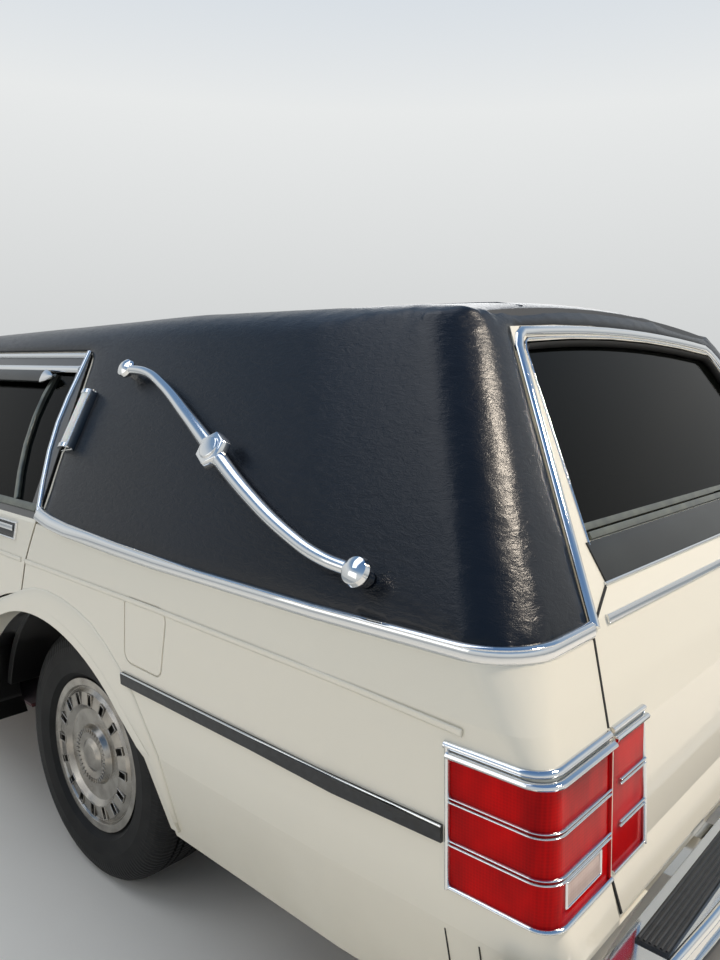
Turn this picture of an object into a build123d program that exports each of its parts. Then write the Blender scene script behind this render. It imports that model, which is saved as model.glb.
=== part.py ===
from build123d import *

import os
from math import hypot, radians, sqrt, tan

# A hearse: a long closed coach on a perimeter frame, with four side doors, a side-hinged rear
# gate, a padded roof covering and a raised load floor with rollers.
# Millimetres. +X is the car's left side, +Y its rear, +Z up. The origin is on the ground,
# under the middle of the car.

os.makedirs("parts", exist_ok=True)

# Overall sizes
LENGTH = 5520.0
BODY_HALF = 1007.0                # half width at the shoulder, the widest line of the body
WHEELBASE = 2903.0
REAR_AXLE_Y = 1253.0
FRONT_AXLE_Y = REAR_AXLE_Y - WHEELBASE
FRONT_TRACK = 1560.0
REAR_TRACK = 1556.0
FAR = 3000.0                      # reach of a cutter that runs right through the car

# Gaps and wall thicknesses
GAP = 5.0                         # shut line round a door, the hood and the gate
RUN = 0.3                         # running clearance of a turning piece
SEAT = 0.3                        # clearance where a loose piece rests
SHEET = 24.0                      # hood and fender shell
DOOR_WALL = 105.0                 # lower doors and quarters, skin to trim
FRAME_WALL = 46.0                 # window frames, pillars and roof
VINYL = 8.0                       # padded roof covering
GLASS = 5.0
GLASS_DEPTH = 10.0                # side glass behind the skin
FRONT_DRAFT = 12.0                # taper of the front door edges, degrees
REAR_DRAFT = 23.0                 # taper of the rear door edges, degrees
FRAME_DRAFT = 25.0                # taper of the window frame edges, degrees
GATE_DRAFT = 15.0                 # taper of the gate edges, degrees

# Side of the body: how far each line lies inside the shoulder
SILL_Z = 290.0
CREASE_Z = 547.0
SHOULDER_Z = 869.0
BELT_Z = 968.0
SILL_HALF = BODY_HALF - 80.0
CREASE_HALF = BODY_HALF - 16.0
BELT_HALF = BODY_HALF - 10.0
LEAN = 0.622                      # how far the side glass leans in for each unit of height
QUARTER_LOW_Z = 347.0             # lower edge of the body behind the rear wheels

# Plan of the body: half width at each distance from the front
NOSE_Y = 138.0 - LENGTH / 2
NOSE_HALF = BODY_HALF - 72.0
NOSE_CORNER_Y = NOSE_Y + 62.0
TAPER_FRONT_Y = -2050.0
TAPER_REAR_Y = LENGTH / 2 - 560.0
TAIL_IN = 14.0                    # the sides draw in this far at the tail

# Rear face: height, distance y and the radius of the body's corner there
TAIL_BELT_Y = LENGTH / 2 - 200.0
TAIL_LAMP_Y = LENGTH / 2 - 140.0
TAIL_Y = LENGTH / 2 - 131.0
TAIL_LIP_Y = LENGTH / 2 - 110.0
TAIL_FOOT_Y = LENGTH / 2 - 220.0
LAMP_TOP_Z = 812.0
LAMP_LOW_Z = 612.0
LIP_Z = 556.0
LAMP_CORNER = 34.0
TAIL_CORNER = 105.0

# Side view of the hood and the deck line
NOSE_TOP_Z = 858.0
COWL_Y = -1075.0
COWL_Z = BELT_Z

ROOF_SPLIT_Z = 1388.0             # where the roof sits on the pillars and quarters

# Greenhouse: crown height of the roof at each station
ROOF_STATIONS = (                 # distance y, crown height
    (-1300.0, 1352.0),
    (-500.0, 1440.0),
    (200.0, 1479.0),
    (880.0, 1499.0),
    (1400.0, 1511.0),
    (2130.0, 1506.0),
    (2260.0, 1495.0),
    (2720.0, 1400.0),
)
EAVE_DROP = 88.0                  # eave below the crown
SHOULDER_DROP = 34.0              # end of the crown arc below the crown
SHOULDER_WIDTH = 122.0
SHOULDER_BULGE = 13.0
WINDSHIELD_BASE_Y = -1040.0
WINDSHIELD_RUN = 480.0
WINDSHIELD_RISE = 415.0
WINDSHIELD_RADIUS = 3400.0
WINDSHIELD_DEPTH = 6.0            # the pane behind its frame
SCREEN_LOW_HALF = BODY_HALF - 82.0
SCREEN_TOP_HALF = BODY_HALF - 317.0
SCREEN_LOW_Z = BELT_Z + 22.0
SCREEN_TOP_Z = 1366.0
TAIL_SLOPE = -0.647               # the raked rear surface, distance y for each unit of height

# Doors
FRONT_DOOR_Y = -755.0
CENTRE_Y = 338.0                  # middle of the gap between the side doors
REAR_DOOR_Y = 1250.0              # rear edge at the belt
REAR_EDGE_SLOPE = 0.42            # that edge runs forward above and below the belt
DOOR_BOTTOM_Z = 330.0
DOOR_TOP_Z = 1380.0
PILLAR_FOOT_Y = FRONT_DOOR_Y      # front edge of the window frame at the belt
PILLAR_HEAD_Y = -392.0            # and at the top
REAR_FRAME_TOP_Y = REAR_DOOR_Y - REAR_EDGE_SLOPE * (DOOR_TOP_Z - BELT_Z)
UPPER_FOOT_Z = BELT_Z - 60.0      # the frame's outline runs on below the belt
HINGE_OUT = BODY_HALF + 11.0      # door hinge axis, outside the skin
HINGE_REACH = 318.0               # depth of a door's cutter from that axis
WINDOW_SILL_Z = BELT_Z + 34.0
FRAME_BAR = 36.0
CENTRE_BAR = 48.0
MIRROR_Y = -655.0
MIRROR_SIZE = (150.0, 52.0, 104.0)

# Gate
GATE_HINGE_Y = LENGTH / 2 - 105.0
GATE_HALF = BODY_HALF - 207.0
GATE_BELT_HALF = BODY_HALF - 243.0
GATE_TOP_HALF = BODY_HALF - 468.0
GATE_TOP_Z = 1430.0               # corner of the header
GATE_ARCH = 22.0                  # its middle stands this much higher
GATE_BOTTOM_Z = 552.0
GATE_WALL = 62.0
GATE_INSET = 3.0                  # gate skin behind the body's
GATE_GLASS_DEPTH = 24.0
GATE_WINDOW_LOW_HALF = GATE_BELT_HALF - 116.0
GATE_WINDOW_TOP_HALF = GATE_TOP_HALF - 25.0
GATE_WINDOW_LOW_Z = 1068.0
GATE_WINDOW_TOP_Z = 1402.0

# Hood
HOOD_HALF = BODY_HALF - 302.0
HOOD_FRONT_Y = NOSE_Y + 87.0
HOOD_LOW_Z = 700.0                # the hood's skirt ends here
FENDER_FRONT_Y = NOSE_Y + 132.0
TIE_Y = NOSE_Y + 110.0            # rubber stops that the closed hood rests on
TIE_HALF = HOOD_HALF - 15.0
STOP_X = HOOD_HALF - 145.0
STOP_RADIUS = 14.0

# Grille and headlamps
GRILLE_HALF = 430.0
GRILLE_LOW_Z = 560.0
GRILLE_TOP_Z = 800.0
GRILLE_RIM = 22.0
GRILLE_BARS = 25
HEADLAMP_IN_X = 500.0
HEADLAMP_OUT_X = BODY_HALF - 127.0
HEADLAMP_LOW_Z = 640.0
HEADLAMP_TOP_Z = 770.0
HEADLAMP_SPLIT = 7.0              # half the bar between the two lamps of a pair

# Tail lamps
LAMP_FRONT_Y = LENGTH / 2 - 290.0
LAMP_DEPTH = 60.0
LAMP_IN_X = GATE_HALF - 116.0

# Wheels and steering
TYRE_RADIUS = 335.0
TYRE_WIDTH = 215.0
RIM_RADIUS = 191.0
AXLE_Z = TYRE_RADIUS
WELL_RADIUS = 424.0               # round wheelhouse
WELL_THICK = 22.0
ARCH_RADIUS = 510.0               # flattened top of the wheel opening
ARCH_CENTRE_Z = 232.0
ARCH_KNEE = (353.0, 600.0)        # half width and height where the top meets the legs
ARCH_ANKLE = (440.0, 530.0)
ARCH_LEG = (478.0, 345.0)
ARCH_CUT_X = BODY_HALF - 227.0    # the opening is cut from here outwards
LIP_WIDTH = 26.0
LIP_PROUD = 6.0
SHUT_RADIUS = ARCH_RADIUS + 45.0  # hollow of the rear door round the opening
KINGPIN_X = 690.0
COVER_SLOTS = 16
COVER_SLOT = (10.0, 17.0, 30.0)   # depth, width, length

# Fuel door, on the left
FUEL_DOOR = ((1640.0, 732.0), (1769.0, 729.0), (1805.0, 875.0), (1659.0, 874.0))
FUEL_CORNER = 22.0
GROOVE_WIDTH = 3.0
GROOVE_DEPTH = 4.0

# Underbody
FLOOR_Z = 330.0
FLOOR_THICK = 12.0
KICK_Y = 845.0
KICK_Z = 560.0
DECK_Z = 702.0
DECK_FRONT_Y = 450.0
DECK_HALF = 560.0
DECK_PANEL = 18.0
DECK_EDGE = GATE_HALF - 100.0     # the quarters' rear corners end here, and the rear sill begins
BEHIND_WELL_Y = REAR_AXLE_Y + WELL_RADIUS + 24.0
FIREWALL_Y = -905.0
RAIL_X = 430.0
RAIL_WIDTH = 62.0
RAIL_TOP_Z = FLOOR_Z - FLOOR_THICK
RAIL_HEIGHT = 96.0
RAIL_FRONT_Y = 320.0 - LENGTH / 2
RAIL_REAR_Y = LENGTH / 2 - 206.0
REAR_RAIL_TOP_Z = KICK_Z - FLOOR_THICK
CROSS_REACH = 100.0               # last cross member from the rails' end
TANK_CLEAR = 74.0                 # fuel tank ahead of that member
TANK_FRONT_Y = REAR_AXLE_Y + 487.0
TANK_HALF = 350.0
TANK_LOW_Z = 250.0
ROLLER_HALF = 240.0
ROLLER_RADIUS = 14.0
ROLLER_PITCH = 530.0
ROLLERS = 4
SKID_X = 380.0

# Body pillars
PILLAR_SPLIT_Y = CENTRE_Y + 120.0  # where the pillar's pieces meet the quarter's
SILL_SPLIT_Z = 420.0
HINGE_PILLAR_X = (BODY_HALF - 174.8, BODY_HALF - 122.0)
FIREWALL_HALF = BODY_HALF - 209.0

# Latch strikers
STRIKER_RADIUS = 9.0
STRIKER_DEPTH = 55.0              # behind the skin
FRONT_STRIKER_Z = 760.0
REAR_STRIKER_Z = 880.0
GATE_STRIKER_Z = 880.0

# Drive line
SHAFT_DROP = 66.0                 # drive shaft below the rear axle's centre
SHAFT_RADIUS = 34.0
PINION_REACH = 220.0              # from the axle to the front of its pinion housing
GEARBOX_REAR_Y = -560.0
HUB_RADIUS = 20.0
AXLE_TUBE = 38.0
AXLE_BALL = 118.0
SPRING_RADIUS = 48.0
ARM_THICK = 16.0
PIN_LOW_Z = 240.0
PIN_TOP_Z = 430.0

# Bumpers
BUMPER_LOW_Z = 404.0
BUMPER_TOP_Z = 540.0
BUMPER_DEPTH = 100.0
BUMPER_WALL = 18.0
BUMPER_HALF = BODY_HALF + 9.0
FRONT_WRAP = 380.0                # from the bumper's face to the end of its wrap
REAR_WRAP = 212.0
FRONT_CORNER = 160.0
REAR_CORNER = 118.0
PLATE_PITCH = 177.8               # licence plate screws in the rear bumper
PLATE_HOLE = 3.5
PLATE_Z = 472.0

# Cabin
STEERING_HUB = (390.0, -470.0, 850.0)
STEERING_RING = 190.0
DASH_HALF = BODY_HALF - 212.0
SEAT_HALF = BODY_HALF - 307.0

# Ornaments
TRIM_PROUD = 10.0
TRIM_LOW_Z = BELT_Z - 20.0
TRIM_TOP_Z = BELT_Z + 5.0
LANDAU_LINE = ((1338.0, 1342.0), (1500.0, 1322.0), (2080.0, 1066.0), (2284.0, 1037.0))
LANDAU_POSTS = ((1352.0, 1340.0), (1838.0, 1173.0), (2272.0, 1039.0))
LANDAU_RADIUS = 14.0
LANDAU_OUT = 26.0
LANDAU_BEND = 300.0
OPERA_LAMP = ((1214.0, 1146.0), (1258.0, 1146.0), (1224.0, 1277.0), (1180.0, 1277.0))
OPERA_OUT = 28.0


def box(x0, x1, y0, y1, z0, z1):
    """A block between two corners."""
    size = (x1 - x0, y1 - y0, z1 - z0)
    middle = ((x0 + x1) / 2, (y0 + y1) / 2, (z0 + z1) / 2)
    return Pos(*middle) * Box(*size)


def face_of(points, plane=Plane.XY):
    """A closed straight-sided outline, filled, on a plane."""
    return plane * make_face(Polyline(*points, close=True))


def along_x(points, x0, x1):
    """An outline in (y, z), from x0 to x1."""
    return extrude(face_of(points, Plane.YZ.offset(x0)), amount=x1 - x0)


def along_y(points, y0, y1):
    """An outline in (x, z), from y0 to y1."""
    return extrude(face_of(points, Plane.XZ.offset(-y0)), amount=-(y1 - y0))


def along_z(points, z0, z1):
    """An outline in (x, y), from z0 to z1."""
    return extrude(face_of(points, Plane.XY.offset(z0)), amount=z1 - z0)


def both(points):
    """An outline given for the left half, completed on the right."""
    return list(points) + [(-x, v) for x, v in reversed(points)]


def on_right(shape):
    """The same piece on the other side of the car."""
    return mirror(shape, about=Plane.YZ)


def rod(radius, start, end):
    """A round bar between two points."""
    axis = Vector(*end) - Vector(*start)
    plane = Plane(origin=start, z_dir=axis)
    return extrude(plane * Circle(radius), amount=axis.length)


def wheel_disc(radius, y, x0, x1):
    """A round disc across the car, about an axle at y."""
    return rod(radius, (x0, y, AXLE_Z), (x1, y, AXLE_Z))


# The outer form of the body, as solids at any depth below the skin

def side_half(z, inset=0.0):
    """Half width of the body side at a height below the belt."""
    stations = ((SILL_Z, SILL_HALF), (CREASE_Z, CREASE_HALF),
                (SHOULDER_Z, BODY_HALF), (BELT_Z, BELT_HALF))
    for (z0, w0), (z1, w1) in zip(stations, stations[1:]):
        if z <= z1 or z1 == BELT_Z:
            return w0 + (w1 - w0) * (z - z0) / (z1 - z0) - inset


def lean_half(z, inset=0.0):
    """Half width of the leaning side above the belt."""
    return BELT_HALF - LEAN * (z - BELT_Z) - inset * sqrt(1 + LEAN * LEAN)


def plan_points(inset):
    """Left half of the plan outline, from the nose backwards."""
    return [
        (NOSE_HALF - inset, NOSE_Y + inset),
        (NOSE_HALF + 38.0 - inset, NOSE_CORNER_Y + inset),
        (BODY_HALF + 1.0 - inset, TAPER_FRONT_Y),
        (BODY_HALF + 1.0 - inset, FAR),
    ]


def tail_section(z, half, y, radius, inset):
    """Plan outline of everything inside the body's sides and ahead of its rear face."""
    wide = half + 0.5 - inset
    end = wide - TAIL_IN
    y = y - inset
    radius = max(radius - inset, 6.0)
    slant = radius * (1.0 - sqrt(0.5))
    plane = Plane.XY.offset(z)
    return plane * make_face([
        Line((-wide, -FAR), (wide, -FAR)),
        Line((wide, -FAR), (wide, TAPER_REAR_Y)),
        Line((wide, TAPER_REAR_Y), (end, y - radius)),
        ThreePointArc((end, y - radius), (end - slant, y - slant), (end - radius, y)),
        Line((end - radius, y), (radius - end, y)),
        ThreePointArc((radius - end, y), (slant - end, y - slant), (-end, y - radius)),
        Line((-end, y - radius), (-wide, TAPER_REAR_Y)),
        Line((-wide, TAPER_REAR_Y), (-wide, -FAR)),
    ])


def rear_face(z):
    """Distance y of the rear face at a height, and the radius of its corner."""
    stations = ((SILL_Z, TAIL_FOOT_Y, 60.0), (CREASE_Z, TAIL_LIP_Y, 60.0), (LIP_Z, TAIL_LIP_Y, 56.0),
                (LAMP_LOW_Z, TAIL_Y, LAMP_CORNER), (LAMP_TOP_Z, TAIL_LAMP_Y, LAMP_CORNER),
                (BELT_Z, TAIL_BELT_Y, TAIL_CORNER))
    z = min(max(z, SILL_Z), BELT_Z)
    for (z0, y0, r0), (z1, y1, r1) in zip(stations, stations[1:]):
        if z <= z1:
            share = (z - z0) / (z1 - z0)
            return y0 + (y1 - y0) * share, r0 + (r1 - r0) * share


def inside_tail(inset):
    """The space bounded by the rear face and the rounded rear corners below the belt."""
    reach = 300.0
    heights = (SILL_Z - reach, SILL_Z, CREASE_Z, LIP_Z, LAMP_LOW_Z, LAMP_TOP_Z, SHOULDER_Z, BELT_Z, BELT_Z + reach)
    sections = []
    for z in heights:
        y, radius = rear_face(z)
        half = side_half(min(max(z, SILL_Z), BELT_Z))
        sections.append(tail_section(z, half, y, radius, inset))
    return loft(sections, ruled=True)


def lower_body(inset=0.0, top=True, reach=0.0):
    """The body below the belt. With top False it is open above and below."""
    section = [(side_half(z) - inset, z) for z in (SILL_Z, CREASE_Z, SHOULDER_Z, BELT_Z)]
    if reach:
        section.insert(0, (section[0][0], SILL_Z - reach))
        section.append((section[-1][0], BELT_Z + reach))
    body = along_y(both(section), -FAR, FAR)
    body = body & along_z(both(plan_points(inset)), 0.0, 2.0 * FAR) & inside_tail(inset)
    if top:
        profile = [(-FAR, 0.0), (-FAR, NOSE_TOP_Z - inset), (NOSE_Y, NOSE_TOP_Z - inset),
                   (COWL_Y, COWL_Z - inset), (FAR, COWL_Z - inset), (FAR, 0.0)]
        body = body & along_x(profile, -FAR, FAR)
    return body


def roof_section(y, crown, inset, floor_z):
    """One cross-section of the greenhouse."""
    eave = crown - EAVE_DROP
    end = lean_half(eave) - SHOULDER_WIDTH
    end_z = crown - SHOULDER_DROP - inset
    eave_z = eave - 0.3 * inset
    side = lean_half(eave_z, inset)
    middle = ((side + end) / 2 + SHOULDER_BULGE, (eave_z + end_z) / 2 + SHOULDER_BULGE)
    foot = lean_half(floor_z, inset)
    plane = Plane(origin=(0, y, 0), x_dir=(1, 0, 0), z_dir=(0, -1, 0))
    lines = [
        Line((-foot, floor_z), (foot, floor_z)),
        Line((foot, floor_z), (side, eave_z)),
        ThreePointArc((side, eave_z), middle, (end, end_z)),
        ThreePointArc((end, end_z), (0, crown - inset), (-end, end_z)),
        ThreePointArc((-end, end_z), (-middle[0], middle[1]), (-side, eave_z)),
        Line((-side, eave_z), (-foot, floor_z)),
    ]
    return plane * make_face(lines)


def behind_windshield(inset):
    """Everything behind the curved, raked windshield surface."""
    slope = Vector(0, WINDSHIELD_RUN, WINDSHIELD_RISE).normalized()
    plane = Plane(origin=(0, WINDSHIELD_BASE_Y, BELT_Z), x_dir=(1, 0, 0), z_dir=slope)
    edge = 1150.0
    bow = edge * edge / (2 * WINDSHIELD_RADIUS)
    front = [
        ThreePointArc((-edge, inset + bow), (0, inset), (edge, inset + bow)),
        Line((edge, inset + bow), (edge, FAR)),
        Line((edge, FAR), (-edge, FAR)),
        Line((-edge, FAR), (-edge, inset + bow)),
    ]
    return extrude(plane.offset(-FAR) * make_face(front), amount=2.5 * FAR)


def tail_y(z, inset=0.0):
    """Rear surface of the roof covering at a height above the belt."""
    return TAIL_BELT_Y + TAIL_SLOPE * (z - BELT_Z) - inset * sqrt(1 + TAIL_SLOPE * TAIL_SLOPE)


def ahead_of_tail(inset):
    """Everything ahead of the raked rear surface, with a rounded left corner."""
    low = BELT_Z - 200.0
    wide = lean_half(low, inset) + 0.5
    end = wide - TAIL_IN
    y = tail_y(low, inset)
    radius = TAIL_CORNER - inset
    slant = radius * (1.0 - sqrt(0.5))
    turn_y = TAPER_REAR_Y + TAIL_SLOPE * (low - BELT_Z)
    outline = make_face([
        Line((-FAR, -2 * FAR), (wide, -2 * FAR)),
        Line((wide, -2 * FAR), (wide, turn_y)),
        Line((wide, turn_y), (end, y - radius)),
        ThreePointArc((end, y - radius), (end - slant, y - slant), (end - radius, y)),
        Line((end - radius, y), (-FAR, y)),
        Line((-FAR, y), (-FAR, -2 * FAR)),
    ])
    rise = 800.0
    shear = Vector(-LEAN, TAIL_SLOPE, 1.0)
    return extrude(Plane.XY.offset(low) * outline, amount=rise * shear.length, dir=shear.normalized())


def greenhouse(inset=0.0, front=None, floor_z=BELT_Z):
    """The body above the belt, roof and glass together."""
    sections = [roof_section(y, crown, inset, floor_z) for y, crown in ROOF_STATIONS]
    body = loft(sections, ruled=True)
    tail = ahead_of_tail(inset)
    return body & behind_windshield(inset if front is None else front) & tail & on_right(tail)


# Door, window and gate outlines

UPPER_SIDE = Plane(origin=(BELT_HALF, 0, BELT_Z), x_dir=(0, 1, 0), z_dir=(1, 0, LEAN))
UPPER_SCALE = sqrt(1 + LEAN * LEAN)


def on_side(y, z):
    """A point of the leaning side, in that plane's own coordinates."""
    return (y, (z - BELT_Z) * UPPER_SCALE)


def upper_prism(points, depth, draft, grow=0.0, proud=3.0):
    """An outline on the leaning side, cut inwards, narrowing with depth."""
    face = make_face(Polyline(*[on_side(y, z) for y, z in points], close=True))
    if grow:
        face = offset(face, amount=grow, kind=Kind.INTERSECTION)
    outward = UPPER_SIDE.z_dir
    plane = Plane(origin=UPPER_SIDE.origin + outward * proud, x_dir=(0, -1, 0), z_dir=-outward)
    flipped = mirror(face, about=Plane.YZ)
    return extrude(plane * flipped, amount=depth + proud, taper=draft)


def lower_prism(face, depth, draft, grow=0.0, start=BODY_HALF + 1.0):
    """An outline in (y, z) cut inwards from the side, narrowing with depth."""
    if grow:
        face = offset(face, amount=grow, kind=Kind.INTERSECTION)
    plane = Plane(origin=(start, 0, 0), x_dir=(0, -1, 0), z_dir=(-1, 0, 0))
    flipped = mirror(face, about=Plane.YZ)
    return extrude(plane * flipped, amount=depth, taper=draft)


def rear_edge(z):
    """Rear edge of the rear door at a height."""
    return REAR_DOOR_Y - REAR_EDGE_SLOPE * abs(z - BELT_Z)


FRONT_DOOR_UPPER = ((FRONT_DOOR_Y, UPPER_FOOT_Z), (CENTRE_Y - GAP / 2, UPPER_FOOT_Z),
                    (CENTRE_Y - GAP / 2, DOOR_TOP_Z), (PILLAR_HEAD_Y, DOOR_TOP_Z),
                    (PILLAR_FOOT_Y, BELT_Z))
REAR_DOOR_UPPER = ((CENTRE_Y + GAP / 2, UPPER_FOOT_Z), (rear_edge(UPPER_FOOT_Z), UPPER_FOOT_Z),
                   (REAR_DOOR_Y, BELT_Z), (REAR_FRAME_TOP_Y, DOOR_TOP_Z), (CENTRE_Y + GAP / 2, DOOR_TOP_Z))


def door_edges(front_y, rear_y, draft, slope=0.0):
    """Lower outline of a door, widened where the skin lies below the widest point."""
    spread = tan(radians(draft))
    heights = (DOOR_BOTTOM_Z, CREASE_Z, SHOULDER_Z, BELT_Z)
    depths = [BODY_HALF - side_half(z) for z in heights]
    rear = [(rear_y - slope * (BELT_Z - z) + depth * spread, z) for z, depth in zip(heights, depths)]
    front = [(front_y - depth * spread, z) for z, depth in zip(heights, depths)]
    foot = DOOR_BOTTOM_Z - depths[0] * spread
    rear[0] = (rear[0][0], foot)
    front[0] = (front[0][0], foot)
    rear.append((rear[-1][0], BELT_Z + 60.0))
    front.append((front[-1][0], BELT_Z + 60.0))
    return make_face(Polyline(*(front + list(reversed(rear))), close=True))


def front_door_face():
    """Lower outline of a front door."""
    return door_edges(FRONT_DOOR_Y, CENTRE_Y - GAP / 2, FRONT_DRAFT)


def rear_door_face():
    """Lower outline of a rear door, hollowed round the wheel arch."""
    whole = door_edges(CENTRE_Y + GAP / 2, REAR_DOOR_Y, REAR_DRAFT, REAR_EDGE_SLOPE)
    return whole - Pos(REAR_AXLE_Y, ARCH_CENTRE_Z) * Circle(SHUT_RADIUS)


def door_cutter(face, upper, draft, grow=0.0):
    """The drafted space that a door fills, above and below the belt."""
    low = lower_prism(face, HINGE_REACH, draft, grow)
    high = upper_prism(upper, FRAME_WALL + 18.0, FRAME_DRAFT, grow)
    return low, high


def door_opening(face, upper, draft):
    """The space cut for a door in what surrounds it, with the gap all round."""
    low, high = door_cutter(face, upper, draft, GAP)
    return (low & box(0.0, FAR, -FAR, FAR, 0.0, BELT_Z + GAP)) + high


FRONT_OPENING = door_opening(front_door_face(), FRONT_DOOR_UPPER, FRONT_DRAFT)
REAR_OPENING = door_opening(rear_door_face(), REAR_DOOR_UPPER, REAR_DRAFT)


def arch_face(y):
    """Outline of the wheel opening in (y, z): a flattened arc on spreading legs."""
    knee, knee_z = ARCH_KNEE
    ankle, ankle_z = ARCH_ANKLE
    leg, leg_z = ARCH_LEG
    top = ARCH_CENTRE_Z + ARCH_RADIUS
    left = [(y - knee, knee_z), (y - ankle, ankle_z), (y - leg, leg_z), (y - leg, 0.0)]
    right = [(y + leg, 0.0), (y + leg, leg_z), (y + ankle, ankle_z), (y + knee, knee_z)]
    outline = Polyline(*(left + right))
    return make_face([outline, ThreePointArc(right[-1], (y, top), left[0])])


def arch(y):
    """The wheel opening, cut from the wheelhouse outwards."""
    return extrude(Plane.YZ.offset(ARCH_CUT_X) * arch_face(y), amount=FAR)


def arch_lip(y):
    """The raised lip round the wheel opening."""
    face = arch_face(y)
    ring = offset(face, amount=LIP_WIDTH, kind=Kind.INTERSECTION) - face
    ring = extrude(Plane.YZ.offset(BODY_HALF - 60.0) * ring, amount=100.0)
    above = box(0.0, FAR, -FAR, FAR, SILL_SPLIT_Z, FAR) + box(0.0, FAR, y, FAR, QUARTER_LOW_Z + 20.0, FAR)
    return ring & lower_body(-LIP_PROUD, top=False) & above


# Shells

SKIN_LOW = lower_body(0.0, top=False)
CAVITY_LOW = lower_body(DOOR_WALL, top=False, reach=200.0)
WALL_LOW = SKIN_LOW - CAVITY_LOW
SKIN_HIGH = greenhouse(0.0)
STEEL_HIGH = greenhouse(VINYL, front=0.0)
CAVITY_HIGH = greenhouse(FRAME_WALL, floor_z=BELT_Z - 100.0)
WALL_HIGH = SKIN_HIGH - CAVITY_HIGH
LEFT = box(0.0, FAR, -FAR, FAR, 0.0, FAR)

parts = {}


def keep(name, shape):
    """Put a finished piece on the list."""
    parts[name] = shape


def make_door(name, face, upper, draft, window, extra=None):
    """A door with its window frame and glass, left and right."""
    low, high = door_cutter(face, upper, draft)
    opening = upper_prism(window, 200.0, 0.0)
    panel = (WALL_LOW & low & LEFT) + (WALL_HIGH & high & LEFT)
    panel = panel - opening
    if extra is not None:
        panel = panel + extra
    pane = (greenhouse(GLASS_DEPTH) - greenhouse(GLASS_DEPTH + GLASS)) & opening & LEFT
    keep(name + "_left", panel)
    keep(name + "_right", on_right(panel))
    keep(name + "_glass_left", pane)
    keep(name + "_glass_right", on_right(pane))


def door_windows():
    """Window outlines of the front and the rear door."""
    top = DOOR_TOP_Z - FRAME_BAR
    slope = (PILLAR_HEAD_Y - PILLAR_FOOT_Y) / (DOOR_TOP_Z - BELT_Z)
    front_foot = PILLAR_FOOT_Y + slope * (WINDOW_SILL_Z - BELT_Z) + FRAME_BAR * 1.5
    front_head = PILLAR_HEAD_Y - slope * FRAME_BAR + FRAME_BAR * 1.5
    front = ((front_foot, WINDOW_SILL_Z), (CENTRE_Y - CENTRE_BAR, WINDOW_SILL_Z),
             (CENTRE_Y - CENTRE_BAR, top), (front_head, top))
    rear_foot = rear_edge(WINDOW_SILL_Z) - FRAME_BAR * 1.3
    rear_head = rear_edge(top) - FRAME_BAR * 1.3
    rear = ((CENTRE_Y + CENTRE_BAR, WINDOW_SILL_Z), (rear_foot, WINDOW_SILL_Z),
            (rear_head, top), (CENTRE_Y + CENTRE_BAR, top))
    return front, rear


def mirror_head():
    """The left door mirror on its arm."""
    width, depth, height = MIRROR_SIZE
    x = BELT_HALF + 24.0
    arm = box(BELT_HALF - 12.0, x + 30.0, MIRROR_Y + 6.0, MIRROR_Y + 44.0, BELT_Z - 36.0, BELT_Z - 8.0)
    head = box(x, x + width, MIRROR_Y, MIRROR_Y + depth, BELT_Z - 12.0, BELT_Z - 12.0 + height)
    return arm + fillet(head.edges(), radius=14.0)


def drafted(points, depths, draft):
    """The outline that, narrowing with the draft, passes each point at its own depth."""
    spread = tan(radians(draft))
    lines = []
    for index, (x0, z0) in enumerate(points):
        x1, z1 = points[(index + 1) % len(points)]
        length = hypot(x1 - x0, z1 - z0)
        ux = (x1 - x0) / length
        uz = (z1 - z0) / length
        run = depths[(index + 1) % len(points)] - depths[index]
        along = -spread * run / length
        across = sqrt(1.0 - along * along)
        nx = along * ux + across * uz
        nz = along * uz - across * ux
        lines.append((nx, nz, nx * x0 + nz * z0 + depths[index] * spread))
    corners = []
    for index, (a1, b1, c1) in enumerate(lines):
        a0, b0, c0 = lines[index - 1]
        scale = a0 * b1 - a1 * b0
        corners.append(((c0 * b1 - c1 * b0) / scale, (a0 * c1 - a1 * c0) / scale))
    return corners


def gate_skin(z):
    """Distance y of the gate's skin at a height."""
    if z > BELT_Z:
        return tail_y(z) - GATE_INSET
    return rear_face(z)[0] - GATE_INSET


def gate_prism(grow=0.0):
    """The drafted space that the rear gate fills."""
    ref_y = TAIL_LIP_Y + 2.0
    left = [(GATE_HALF, GATE_BOTTOM_Z), (GATE_HALF, LAMP_TOP_Z), (GATE_BELT_HALF, BELT_Z),
            (GATE_TOP_HALF, GATE_TOP_Z)]
    for share in (0.66, 0.33):
        left.append((GATE_TOP_HALF * share, GATE_TOP_Z + GATE_ARCH * (1.0 - share * share)))
    points = both(left)
    depths = [ref_y - gate_skin(max(z, LAMP_LOW_Z)) for x, z in points]
    face = make_face(Polyline(*drafted(points, depths, GATE_DRAFT), close=True))
    if grow:
        face = offset(face, amount=grow, kind=Kind.INTERSECTION)
    plane = Plane(origin=(0, ref_y, 0), x_dir=(1, 0, 0), z_dir=(0, -1, 0))
    return extrude(plane * face, amount=620.0, taper=GATE_DRAFT)


def gate_band(inset, thick):
    """The gate's wall in side view, as a slab across the car."""
    heights = (GATE_BOTTOM_Z - 20.0, LIP_Z, LAMP_LOW_Z, LAMP_TOP_Z, BELT_Z, GATE_TOP_Z + 60.0)
    outer = [(gate_skin(z), z) for z in heights]
    front = [(y - inset, z) for y, z in outer]
    back = [(y - inset - thick * (1.0 if z < BELT_Z else 1.2), z) for y, z in outer]
    back[0] = (back[2][0], back[0][1])
    back[1] = (back[2][0], back[1][1])
    return along_x(front + list(reversed(back)), -FAR, FAR)


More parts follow.
